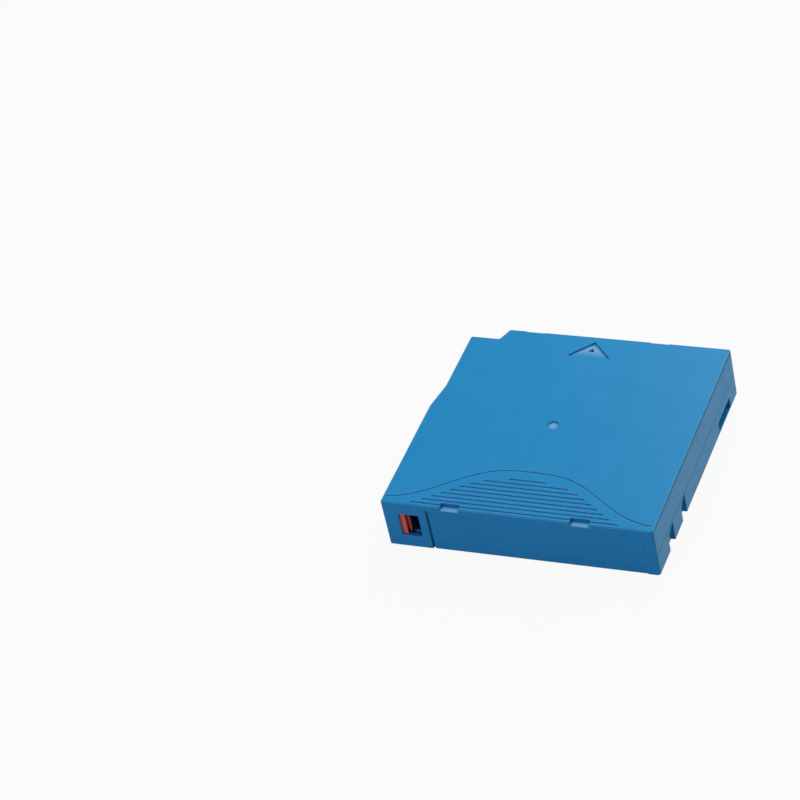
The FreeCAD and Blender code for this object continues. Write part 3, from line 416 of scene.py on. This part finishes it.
@dataclass(frozen=True)
class MouldedPlastic(Finish):
    """Injection-moulded plastic with mould grain, faint flow marks, edges paler from wear and
    painted highlight, and painted shade in grooves and deep recesses.
    """

    grain: Grain = Grain.SATIN
    roughness: float = 0.45
    wear_and_highlight: float = 0.35         # how much paler an edge is: wear and painted highlight
    groove_shade: float = 0.75           # painted shade: how much darker a narrow groove is
    gloss: float = 0.5
    edge: float = 0.25 * MM      # radius that edges are eased by
    groove: float = 1.2 * MM     # grooves up to this width get painted shade
    depth: float = 0.0           # painted shade: recesses this deep are darkened almost to black, if not 0

    def floors(self, graph: Graph, open_air: Value, colour: Value) -> Value:
        """The colour, with a painted sheen on the floors of recesses where a finish has one."""
        return colour

    def write(self, graph: Graph) -> None:
        """Grain relief over eased edges; paler on edges from wear and painted highlight, painted
        shade in grooves, mottled by the flow.
        """
        place = graph.place()
        eased = graph.rounded(self.edge)
        edge = graph.edges(eased)
        open_air = graph.openness(self.groove)
        closed = open_air.under(0.55, 4.0)
        grains = graph.noise(place, self.grain.size, 3.0, 0.6)
        flow = graph.noise(place, FLOW_MARK, 3.0)
        scuffs = graph.noise(graph.stretched(place, SCUFF, SCUFF_TURN), 1.0, 2.0)
        scuffed = scuffs.above(0.66, 6.0)
        tone = graph.mix(flow, between(self.colour, BLACK, 0.08),
                         between(self.colour, WHITE, 0.012))
        # Paler edges: partly wear and scuffs, partly painted highlight.
        pale = between(self.colour, WHITE, 0.45)
        proud = edge * open_air.above(0.6, 2.5)
        worn_and_highlit = graph.mix((proud + scuffed * 0.12) * self.wear_and_highlight, tone, pale)
        # Painted shade: narrow grooves are darkened towards near black.
        shaded_colour = graph.mix(closed * self.groove_shade, self.floors(graph, open_air, worn_and_highlit),
                            between(self.colour, BLACK, 0.85))
        # Painted shade: deep recesses are darkened almost to black.
        if self.depth:
            deep = graph.openness(self.depth, False).under(0.74, 10)
            shaded_colour = graph.mix(deep, shaded_colour, between(self.colour, BLACK, 0.93))
        mottle = (grains - 0.5) * 0.10 + (flow - 0.5) * 0.10
        graph.surface({
            "Base Color": shaded_colour,
            "Roughness": self.roughness + mottle - edge * 0.08,
            "Specular IOR Level": self.gloss,
            "Normal": graph.bump(grains, self.grain.depth, eased),
        })


@dataclass(frozen=True)
class ShellPlastic(MouldedPlastic):
    """The shells' plastic: upward floors of shallow recesses in the top get a paler colour, a
    painted sheen.
    """

    top: float = 21.5 * MM       # height of the top plate
    reach: float = 1.6 * MM      # deepest recess whose floor gets the painted sheen
    pale: float = 0.16           # how much paler the floors are: painted sheen

    def floors(self, graph: Graph, open_air: Value, colour: Value) -> Value:
        """Mixes in the paler colour, a painted sheen, on upward faces, fully from 0.45 mm down to
        the reach.
        """
        below = self.top - graph.height()
        sunk = below.above(0.05 * MM, 2500) * below.under(self.reach, 40000)
        # Painted sheen on the floors of shallow recesses.
        floor_sheen = sunk * graph.upward() * open_air.above(0.82, 9.0)
        return graph.mix(floor_sheen, colour, between(self.colour, WHITE, self.pale))


@dataclass(frozen=True)
class TurnedSteel(Finish):
    """Steel turned about an upright axis: fine rings that depend on height alone."""

    roughness: float = 0.24
    pitch: float = 0.07 * MM

    def write(self, graph: Graph) -> None:
        """Rings of noise in z with a slight change round the piece, and soft handling marks."""
        place = graph.place()
        rings = graph.noise(graph.stretched(place, (6 * MM, 6 * MM, self.pitch)), 1.0, 2.0)
        marks = graph.noise(place, 2.5 * MM, 3.0)
        graph.surface({
            "Base Color": graph.mix(marks, between(self.colour, BLACK, 0.12), self.colour),
            "Metallic": 1.0,
            "Roughness": self.roughness + (rings - 0.5) * 0.12 + (marks - 0.5) * 0.10,
            "Normal": graph.bump(rings, 0.002 * MM, graph.rounded(0.08 * MM)),
        })


@dataclass(frozen=True)
class RolledSteel(Finish):
    """Sheet steel with rolling lines along X, paler and smoother along its edges."""

    roughness: float = 0.34
    pitch: float = 0.09 * MM

    def write(self, graph: Graph) -> None:
        """Stretched noise for the rolling lines, broad cloudy tarnish and rubbed edges."""
        place = graph.place()
        eased = graph.rounded(0.1 * MM)
        lines = graph.noise(graph.stretched(place, (4 * MM, self.pitch, self.pitch)), 1.0, 3.0)
        clouds = graph.noise(place, 4 * MM, 4.0)
        tarnished = graph.mix(clouds, between(self.colour, OIL_TARNISH, 0.25), self.colour)
        pale = between(self.colour, WHITE, 0.4)
        graph.surface({
            "Base Color": graph.mix(graph.edges(eased) * 0.4, tarnished, pale),
            "Metallic": 1.0,
            "Roughness": self.roughness + (lines - 0.5) * 0.16 + (clouds - 0.5) * 0.14,
            "Normal": graph.bump(lines, 0.003 * MM, eased),
        })


@dataclass(frozen=True)
class DrawnWire(Finish):
    """Spring wire with streaks along its length, read from the wire's own map."""

    roughness: float = 0.28

    def write(self, graph: Graph) -> None:
        """Noise that is long along the wire and fine round it, over slow changes of tone."""
        place = graph.wire_place()
        streaks = graph.noise(graph.stretched(place, (3.0, 0.06, 1.0)), 1.0, 3.0)
        tone = graph.noise(graph.stretched(place, (5.0, 5.0, 1.0)), 1.0, 2.0)
        graph.surface({
            "Base Color": graph.mix(tone, between(self.colour, BLACK, 0.22), self.colour),
            "Metallic": 1.0,
            "Roughness": self.roughness + (streaks - 0.5) * 0.2,
            "Normal": graph.bump(streaks, 0.002 * MM),
        })


@dataclass(frozen=True)
class WoundFilm(Finish):
    """Magnetic film: near-black brown, glossy, with the fine steps of its wraps."""

    roughness: float = 0.2
    wrap: float = 0.12 * MM      # radial size of the visible steps
    scatter: float = 0.6 * MM    # height of the lines on the outermost wrap

    def write(self, graph: Graph) -> None:
        """Noise in (radius, height), so that lines follow the wraps; radius = sqrt(x^2 + y^2)."""
        place = graph.place()
        parts = graph.node("ShaderNodeSeparateXYZ", {}, {0: place})
        x, y, z = parts, parts.output("Y"), parts.output("Z")
        radius = (x * x + y * y) ** 0.5
        winding = graph.node("ShaderNodeCombineXYZ", {},
                             {"X": radius / self.wrap, "Y": z / self.scatter})
        wraps = graph.noise(winding, 1.0, 3.0, 0.6)
        haze = graph.noise(place, 11 * MM, 2.0)
        dark, pale = between(self.colour, BLACK, 0.3), between(self.colour, WHITE, 0.05)
        graph.surface({
            "Base Color": graph.mix(wraps, dark, pale),
            "Roughness": self.roughness + (wraps - 0.5) * 0.16 + (haze - 0.5) * 0.08,
            "Normal": graph.bump(wraps, 0.012 * MM),
        })


@dataclass(frozen=True)
class CircuitBoard(Finish):
    """Green lacquer over glass cloth; the weave shows through as a faint relief."""

    thread: float = 0.5 * MM     # spacing of the cloth's threads
    tilt: float = 0.7854         # the board's angle to the underside, radians

    def write(self, graph: Graph) -> None:
        """Weave = sin(2 pi u / thread) * sin(2 pi v / thread) in the board's own plane."""
        place = graph.place()
        turns = self.thread / FULL_TURN
        flat = graph.stretched(place, (turns, turns, turns), (self.tilt, 0.0, 0.0))
        parts = graph.node("ShaderNodeSeparateXYZ", {}, {0: flat})
        weave = parts.sine() * parts.output("Y").sine() * 0.5 + 0.5
        cloud = graph.noise(place, 3 * MM, 3.0)
        dark = between(self.colour, BLACK, 0.25)
        graph.surface({
            "Base Color": graph.mix(weave * 0.4 + cloud * 0.4, dark, self.colour),
            "Roughness": 0.3 + cloud * 0.12,
            "Normal": graph.bump(weave, 0.004 * MM, graph.rounded(0.06 * MM)),
        })


@dataclass(frozen=True)
class EtchedCopper(Finish):
    """Copper track with a grainy etch and patches of darker tarnish."""

    def write(self, graph: Graph) -> None:
        """Fine etch relief under slow patches of tarnish."""
        place = graph.place()
        etch = graph.noise(place, 0.08 * MM, 3.0)
        patches = graph.noise(place, 1.6 * MM, 4.0)
        tarnished = between(self.colour, COPPER_TARNISH, 0.5)
        graph.surface({
            "Base Color": graph.mix(patches, tarnished, self.colour),
            "Metallic": 1.0,
            "Roughness": 0.26 + patches * 0.24,
            "Normal": graph.bump(etch, 0.003 * MM),
        })


@dataclass(frozen=True)
class Potting(Finish):
    """Black potting resin, glossy, with the slow waves of a cured drop."""

    def write(self, graph: Graph) -> None:
        """Slow waves with a fine haze, over eased edges."""
        place = graph.place()
        waves = graph.noise(place, 1.1 * MM, 2.0)
        haze = graph.noise(place, 0.15 * MM, 2.0)
        graph.surface({
            "Base Color": graph.mix(haze, self.colour, between(self.colour, WHITE, 0.04)),
            "Roughness": 0.2 + haze * 0.2,
            "Normal": graph.bump(waves, 0.03 * MM, graph.rounded(0.2 * MM)),
        })


CASE_BLUE = ShellPlastic("case_blue", paint(0, 135, 190), Grain.SPARKED, 0.40, 0.45, 0.5, 0.15)
DOOR_BLUE = MouldedPlastic("door_blue", paint(0, 124, 183), Grain.SATIN, 0.38, gloss=0.25)
# The slider's depth paints shade on its part that sits back in the window.
SLIDER_RED = MouldedPlastic("slider_red", paint(222, 60, 44), Grain.SATIN, 0.38, 0.2,
                            depth=6 * MM)
NATURAL_WHITE = MouldedPlastic("natural_white", paint(226, 226, 220), Grain.SATIN, 0.36, 0.3,
                               0.3)
BUTTON_GREY = MouldedPlastic("button_grey", paint(112, 116, 120), Grain.SATIN, 0.42)
CLIP_BLACK = MouldedPlastic("clip_black", paint(34, 34, 36), Grain.POLISHED, 0.36)
PIN_STEEL = TurnedSteel("turned_steel", paint(196, 198, 200))
PLATE_STEEL = RolledSteel("plate_steel", paint(178, 180, 182))
LEAF_STEEL = RolledSteel("leaf_steel", paint(168, 170, 172), 0.26)
SPRING_WIRE = DrawnWire("drawn_wire", paint(176, 178, 182))
SCREW_STEEL = RolledSteel("zinc_steel", paint(128, 130, 134), 0.38)
FILM = WoundFilm("wound_film", paint(44, 34, 30))
BOARD_GREEN = CircuitBoard("green_board", paint(24, 92, 54))
COPPER = EtchedCopper("etched_copper", paint(206, 128, 84))
RESIN = Potting("black_resin", paint(26, 26, 28))


# ---- Meshes ----------------------------------------------------------------------------------

WIRE_MAP = "wire"
SPRING_STEPS = 28                # steps to a turn
THREAD_STEPS = 20
WIRE_SIDES = 10
CLOSED_TURNS = 0.75              # turns that lie closed at each end of a coil
CLOSED_PITCH = 2.02              # their climb to a turn, in wire radii
THREAD_RIDGE = np.array([[-0.4, -1.2], [1.0, 0.0], [-0.4, 1.2]])  # in crest heights
THREAD_FADE = 0.15               # share of the ridge left at its ends


def carried(angle: np.ndarray, radius: np.ndarray, height: np.ndarray, profile: np.ndarray,
            taper: np.ndarray) -> np.ndarray:
    """Carries a closed profile along a helix about Z.

    The path is c = (r cos a, r sin a, h). N = (cos a, sin a, 0) points outwards, T is the path's
    direction and B = T x N. A profile point (p, q) goes to c + taper * (p N + q B).

    Args:
        angle: Angle a at each step, radians.
        radius: Radius r at each step.
        height: Height h at each step.
        profile: Points (p, q) of the closed profile, anticlockwise.
        taper: Share of the profile's size at each step.

    Returns:
        Points on a grid of steps by profile points.
    """
    out = np.stack([np.cos(angle), np.sin(angle), np.zeros_like(angle)], axis=1)
    path = out * radius[:, None]
    path[:, 2] = height
    along = np.gradient(path, axis=0)
    along /= np.linalg.norm(along, axis=1, keepdims=True)
    side = np.cross(along, out)
    side /= np.linalg.norm(side, axis=1, keepdims=True)
    sized = taper[:, None, None] * profile[None, :, :]
    return path[:, None, :] + sized[..., :1] * out[:, None, :] + sized[..., 1:] * side[:, None, :]


def ring_faces(rows: int, columns: int, first: int) -> np.ndarray:
    """Quads over a grid whose columns close on themselves.

    Quad (i, j) joins points (i, j), (i, j + 1), (i + 1, j + 1) and (i + 1, j), j + 1 taken round.

    Args:
        rows: Steps along the path.
        columns: Points round the profile.
        first: Number of the grid's first vertex.

    Returns:
        Vertex numbers, four to a quad.
    """
    index = np.arange(rows * columns).reshape(rows, columns) + first
    ahead = np.roll(index, -1, axis=1)
    return np.stack([index[:-1], ahead[:-1], ahead[1:], index[1:]], axis=-1).reshape(-1, 4)


def tubes(name: str, grids: list[np.ndarray], finish: Finish) -> bpy.types.Object:
    """One closed piece from grids whose columns close on themselves, with flat ends.

    The map holds millimetres along the path and round the profile, so that a drawn finish follows
    the wire.

    Args:
        name: The piece's name.
        grids: Grids of points from carried(), already in place.
        finish: Its material.

    Returns:
        The piece, linked into the scene.
    """
    points = np.concatenate([grid.reshape(-1, 3) for grid in grids])
    faces: list[np.ndarray] = []
    maps: list[np.ndarray] = []
    first = 0
    for grid in grids:
        rows, columns = grid.shape[:2]
        faces += [*ring_faces(rows, columns, first)]
        rim = np.arange(columns) + first
        faces += [rim[::-1], rim + (rows - 1) * columns]
        strides = np.linalg.norm(np.diff(grid.mean(axis=1), axis=0), axis=1)
        run = np.concatenate([[0.0], np.cumsum(strides)]) / MM
        ring = grid[rows // 2]
        girth = np.linalg.norm(ring - np.roll(ring, 1, axis=0), axis=1).sum() / MM
        u = np.broadcast_to(run[:, None], (rows, columns))
        v = np.broadcast_to(np.arange(columns)[None, :] * girth / columns, (rows, columns))
        step = girth / columns
        quads = np.stack([
            np.stack([u[:-1], v[:-1]], -1), np.stack([u[:-1], v[:-1] + step], -1),
            np.stack([u[1:], v[1:] + step], -1), np.stack([u[1:], v[1:]], -1)], axis=2)
        maps += [quads.reshape(-1, 2), np.zeros((columns * 2, 2))]
        first += rows * columns
    mesh = bpy.data.meshes.new(name)
    mesh.from_pydata(points.tolist(), [], [face.tolist() for face in faces])
    mesh.uv_layers.new(name=WIRE_MAP).data.foreach_set("uv", np.concatenate(maps).ravel())
    mesh.polygons.foreach_set("use_smooth", np.ones(len(mesh.polygons), dtype=bool))
    mesh.materials.append(finish.material())
    piece = bpy.data.objects.new(name, mesh)
    bpy.context.scene.collection.objects.link(piece)
    return piece


def round_profile(radius: float, sides: int) -> np.ndarray:
    """Points (r cos t, r sin t) for equal steps of t.

    Args:
        radius: The circle's radius r.
        sides: Number of points.

    Returns:
        The points, anticlockwise.
    """
    turn = 2 * np.pi * np.arange(sides) / sides
    return radius * np.stack([np.cos(turn), np.sin(turn)], axis=1)


def spring_grid(radius: float, wire: float, length: float, turns: float) -> np.ndarray:
    """A compression coil about Z from z = 0 to its length, with closed end turns.

    The climb per turn eases from the wire's thickness in the end turns to an even open pitch, by
    e = s^2 (3 - 2 s). s runs from 0 where the closed turns end to 1 one turn further on. Height is
    the running sum of the climb.

    Args:
        radius: Radius of the wire's centre line.
        wire: Radius of the wire.
        length: Free length over both ends.
        turns: Turns in all.

    Returns:
        A grid for tubes().
    """
    steps = int(turns * SPRING_STEPS) + 1
    share = np.linspace(0.0, 1.0, steps)
    nearer = np.minimum(share, 1 - share) * turns
    ease = np.clip(nearer - CLOSED_TURNS, 0.0, 1.0)
    ease = ease * ease * (3 - 2 * ease)
    closed = CLOSED_PITCH * wire
    spare = length - 2 * wire - closed * turns
    climb = closed * turns + spare * ease / ease.mean()
    rise = np.concatenate([[0.0], np.cumsum((climb[1:] + climb[:-1]) / 2)])
    height = wire + rise / rise[-1] * (length - 2 * wire)
    even = np.ones(steps)
    return carried(2 * np.pi * turns * share, even * radius, height,
                   round_profile(wire, WIRE_SIDES), even)


# ---- Sub-assemblies --------------------------------------------------------------------------


@dataclass
class Assembly:
    """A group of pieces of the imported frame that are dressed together."""

    frame: dict[str, Any]

    def dress(self, finishes: dict[str, Finish]) -> None:
        """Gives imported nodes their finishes.

        Args:
            finishes: A finish for each node's name.
        """
        for node, finish in finishes.items():
            piece = self.frame["nodes"][node]
            if not piece.material_slots:
                piece.data.materials.append(finish.material())
            for holder in piece.material_slots:
                holder.link = "OBJECT"
                holder.material = finish.material()
            LOG.info("%s: %s", node, finish.name)

    def travel(self, joint: str) -> float:
        """Full travel of a sliding joint, in metres."""
        found = next(item for item in self.frame["joints"] if item["name"] == joint)
        return found["range_m"][1] - found["range_m"][0]

    def build(self) -> None:
        """Builds and dresses the group's pieces."""
        raise NotImplementedError


@dataclass
class Case(Assembly):
    """The two shells and the screws that hold them, with the threads that the screws cut."""

    screw_x: tuple[float, ...] = (-45.2 * MM, 45.2 * MM, 44.5 * MM, -33.2 * MM)
    screw_y: tuple[float, ...] = (-27.3 * MM, -27.3 * MM, 42.0 * MM, 45.0 * MM)
    shank: float = 1.0 * MM
    crest: float = 0.16 * MM
    pitch: float = 0.8 * MM
    head: float = 1.4 * MM

    def thread(self, x: float, y: float, start: float, end: float) -> np.ndarray:
        """A three-sided ridge carried up a helix round one screw.

        Height is start + pitch * a / 2 pi, and the ridge grows and fades over a turn at each end.

        Args:
            x: The screw's place along X.
            y: The screw's place along Y.
            start: Height of the lowest turn.
            end: Height of the highest turn.

        Returns:
            A grid for tubes().
        """
        turns = (end - start) / self.pitch
        steps = int(turns * THREAD_STEPS) + 1
        share = np.linspace(0.0, 1.0, steps)
        nearer = np.minimum(share, 1 - share) * turns
        taper = np.clip(nearer, THREAD_FADE, 1.0)
        grid = carried(2 * np.pi * turns * share, np.full(steps, self.shank),
                       start + (end - start) * share, THREAD_RIDGE * self.crest, taper)
        return grid + np.array([x, y, 0.0])

    def build(self) -> None:
        """Dresses the shells and screws and adds the threads."""
        self.dress({"upper_shell": CASE_BLUE, "lower_shell": CASE_BLUE, "case_screws": SCREW_STEEL})
        low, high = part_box("case_screws")
        start = low.z + self.head + self.pitch
        end = high.z - self.pitch / 2
        grids = [self.thread(x, y, start, end) for x, y in zip(self.screw_x, self.screw_y)]
        threads = tubes("screw_threads", grids, SCREW_STEEL)
        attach(threads, "case")
        LOG.info("screw_threads: %d screws", len(grids))


@dataclass
class Door(Assembly):
    """The sliding access door and its long return spring."""

    turns: float = 26.0
    wire: float = 0.14 * MM

    def build(self) -> None:
        """Dresses the door and winds its spring along Y, from the stop to the door's tail."""
        self.dress({"access_door": DOOR_BLUE})
        low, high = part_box("door_spring")
        length = high.y - low.y
        upright = spring_grid((high.x - low.x) / 2 - self.wire, self.wire, length, self.turns)
        grid = np.stack([upright[..., 0], upright[..., 2], -upright[..., 1]], axis=-1)
        grid += np.array([(low.x + high.x) / 2, low.y, (low.z + high.z) / 2])
        spring = tubes("door_spring_wire", [grid], SPRING_WIRE)
        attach(spring, "case")
        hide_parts("door_spring")
        1 - self.travel("door_slide") / length
        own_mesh(spring)
        LOG.info("door_spring_wire: %.1f turns", self.turns)


@dataclass
class Leader(Assembly):
    """The leader pin, its clip and leaf spring, and the free run of film."""

    def build(self) -> None:
        """Dresses the four pieces."""
        self.dress({"leader_pin": PIN_STEEL, "leader_pin_clamp": CLIP_BLACK,
                    "pin_retaining_spring": LEAF_STEEL, "leader_tape": FILM})


@dataclass
class Reel(Assembly):
    """The reel, its wound film and the steel clutch plate."""

    def build(self) -> None:
        """Dresses the four pieces."""
        self.dress({"reel_hub": NATURAL_WHITE, "reel_upper_flange": NATURAL_WHITE,
                    "tape_pack": FILM, "clutch_plate": PLATE_STEEL})


@dataclass
class Brake(Assembly):
    """The reel brake: button, spring and release pad."""

    turns: float = 6.0
    wire: float = 0.35 * MM

    def build(self) -> None:
        """Dresses the button and pad and winds the spring between the button and the roof."""
        self.dress({"brake_button": BUTTON_GREY, "brake_release_pad": BUTTON_GREY})
        low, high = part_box("brake_spring")
        length = high.z - low.z
        grid = spring_grid((high.x - low.x) / 2 - self.wire, self.wire, length, self.turns)
        grid = grid + np.array([(low.x + high.x) / 2, (low.y + high.y) / 2, low.z])
        spring = tubes("brake_spring_wire", [grid], SPRING_WIRE)
        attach(spring, "case")
        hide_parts("brake_spring")
        1 - self.travel("brake_lift") / length
        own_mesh(spring)
        LOG.info("brake_spring_wire: %.1f turns", self.turns)


@dataclass
class WriteProtect(Assembly):
    """The write-protect slider in its window."""

    def build(self) -> None:
        """Dresses the slider."""
        self.dress({"write_protect_switch": SLIDER_RED})


@dataclass
class Memory(Assembly):
    """The cartridge memory: a small tilted board with its coil and chip."""

    def build(self) -> None:
        """Dresses the three pieces."""
        self.dress({"memory_board": BOARD_GREEN, "memory_antenna_coil": COPPER,
                    "memory_chip": RESIN})


# ---- Studio ----------------------------------------------------------------------------------


@dataclass(frozen=True)
class PaleFloor(Finish):
    """Matt pale floor that looks white to the camera and keeps the object's shadow."""

    name: str = "studio_floor"
    colour: Colour = (0.45, 0.45, 0.45)
    lift: float = 0.93           # share of plain white that the camera sees

    def write(self, graph: Graph) -> None:
        """A diffuse floor mixed with plain white for camera, glossy and transmission rays."""
        paper = graph.noise(graph.place(), 3 * MM, 2.0)
        matt = graph.node("ShaderNodeBsdfPrincipled", {}, {
            "Base Color": self.colour, "Roughness": 0.75 + paper * 0.1})
        white = graph.node("ShaderNodeEmission", {}, {"Color": WHITE, "Strength": 1.0})
        seen = seen_rays(graph) * self.lift
        blend = graph.node("ShaderNodeMixShader", {}, {0: seen, 1: matt, 2: white})
        graph.node("ShaderNodeOutputMaterial", {}, {"Surface": blend})


def seen_rays(graph: Graph) -> Value:
    """1 for rays that show the surroundings: from the camera, off gloss or through glass.

    Args:
        graph: The tree that asks.

    Returns:
        The mask.
    """
    path = graph.node("ShaderNodeLightPath", {}, {}, "Is Camera Ray")
    return (path + path.output("Is Glossy Ray") + path.output("Is Transmission Ray")).clamped()


@dataclass(frozen=True)
class Lamp:
    """A square soft lamp that looks at the middle of the object."""

    name: str
    place: tuple[float, float, float]
    size: float
    watts: float
    tint: Colour = WHITE

    def build(self, target: Vector) -> None:
        """Hangs the lamp.

        Args:
            target: Point that it is aimed at.
        """
        data = bpy.data.lights.new(self.name, "AREA")
        data.size = self.size
        data.energy = self.watts
        data.color = self.tint
        lamp = bpy.data.objects.new(self.name, data)
        lamp.location = self.place
        lamp.rotation_euler = (target - Vector(self.place)).to_track_quat("-Z", "Y").to_euler()
        bpy.context.scene.collection.objects.link(lamp)


@dataclass
class Studio:
    """Pale floor, even white surroundings, soft lamps and the camera."""

    floor_reach: float = 4.0
    floor_gap: float = 0.02 * MM     # from the floor up to the object
    surroundings: float = 0.35       # strength of the world where it only lights
    lamps: tuple[Lamp, ...] = (
        Lamp("key_lamp", (0.15, 0.35, 1.12), 0.6, 5.6),
        Lamp("rear_lamp", (-0.02, 0.42, 0.34), 0.16, 0.5),
        Lamp("near_edge_lamp", (-0.40, -0.90, 0.55), 0.16, 2.8, (0.65, 0.6, 1.0)),
        Lamp("side_edge_lamp", (0.80, 0.86, 0.42), 0.2, 2.6),
    )
    eye: tuple[float, float, float] = (0.38378, -0.79972, 0.76771)
    right: tuple[float, float, float] = (0.92077, 0.34466, -0.18274)
    up: tuple[float, float, float] = (-0.09299, 0.64884, 0.75522)
    lens: float = 139.96
    nearest: float = 0.01            # nearest distance that the camera sees

    def floor(self, level: float) -> None:
        """A wide square under the object.

        Args:
            level: Height of the floor.
        """
        finish = PaleFloor()
        signs = ((-1, -1), (1, -1), (1, 1), (-1, 1))
        square = [(self.floor_reach * x, self.floor_reach * y, level) for x, y in signs]
        mesh = bpy.data.meshes.new(finish.name)
        mesh.from_pydata(square, [], [(0, 1, 2, 3)])
        mesh.materials.append(finish.material())
        floor = bpy.data.objects.new(finish.name, mesh)
        bpy.context.scene.collection.objects.link(floor)
        floor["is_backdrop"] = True

    def world(self) -> None:
        """White surroundings where they are seen, dimmer where they only light."""
        world = bpy.data.worlds.new("studio")
        world.use_nodes = True
        graph = Graph(world.node_tree)
        strength = self.surroundings + seen_rays(graph) * (1 - self.surroundings)
        shade = graph.node("ShaderNodeBackground", {}, {"Color": WHITE, "Strength": strength})
        graph.node("ShaderNodeOutputWorld", {}, {"Surface": shade})
        bpy.context.scene.world = world

    def camera(self) -> None:
        """Camera at its place, with its right and up directions given."""
        right, up = Vector(self.right).normalized(), Vector(self.up).normalized()
        back = right.cross(up)
        data = bpy.data.cameras.new("camera")
        data.lens = self.lens
        data.clip_start = self.nearest
        camera = bpy.data.objects.new("camera", data)
        turn = Matrix((right, up, back)).transposed().to_4x4()
        camera.matrix_world = Matrix.Translation(Vector(self.eye)) @ turn
        bpy.context.scene.collection.objects.link(camera)
        bpy.context.scene.camera = camera

    def build(self, low: Vector, high: Vector) -> None:
        """Sets up the whole studio round the object.

        Args:
            low: Lowest corner of the object.
            high: Highest corner of the object.
        """
        self.floor(low.z - self.floor_gap)
        self.world()
        for lamp in self.lamps:
            lamp.build((low + high) / 2)
        self.camera()
        bpy.context.scene.view_settings.view_transform = "Standard"


def main() -> None:
    """Loads the frame, dresses every sub-assembly and sets up the studio."""
    logging.basicConfig(level=logging.INFO, format="%(name)s %(message)s")
    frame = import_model()
    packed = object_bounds()
    for group in (Case, Door, Leader, Reel, Brake, WriteProtect, Memory):
        group(frame).build()
        LOG.info("%s done", group.__name__)
    Studio().build(*packed)


if __name__ == "__main__":
    main()
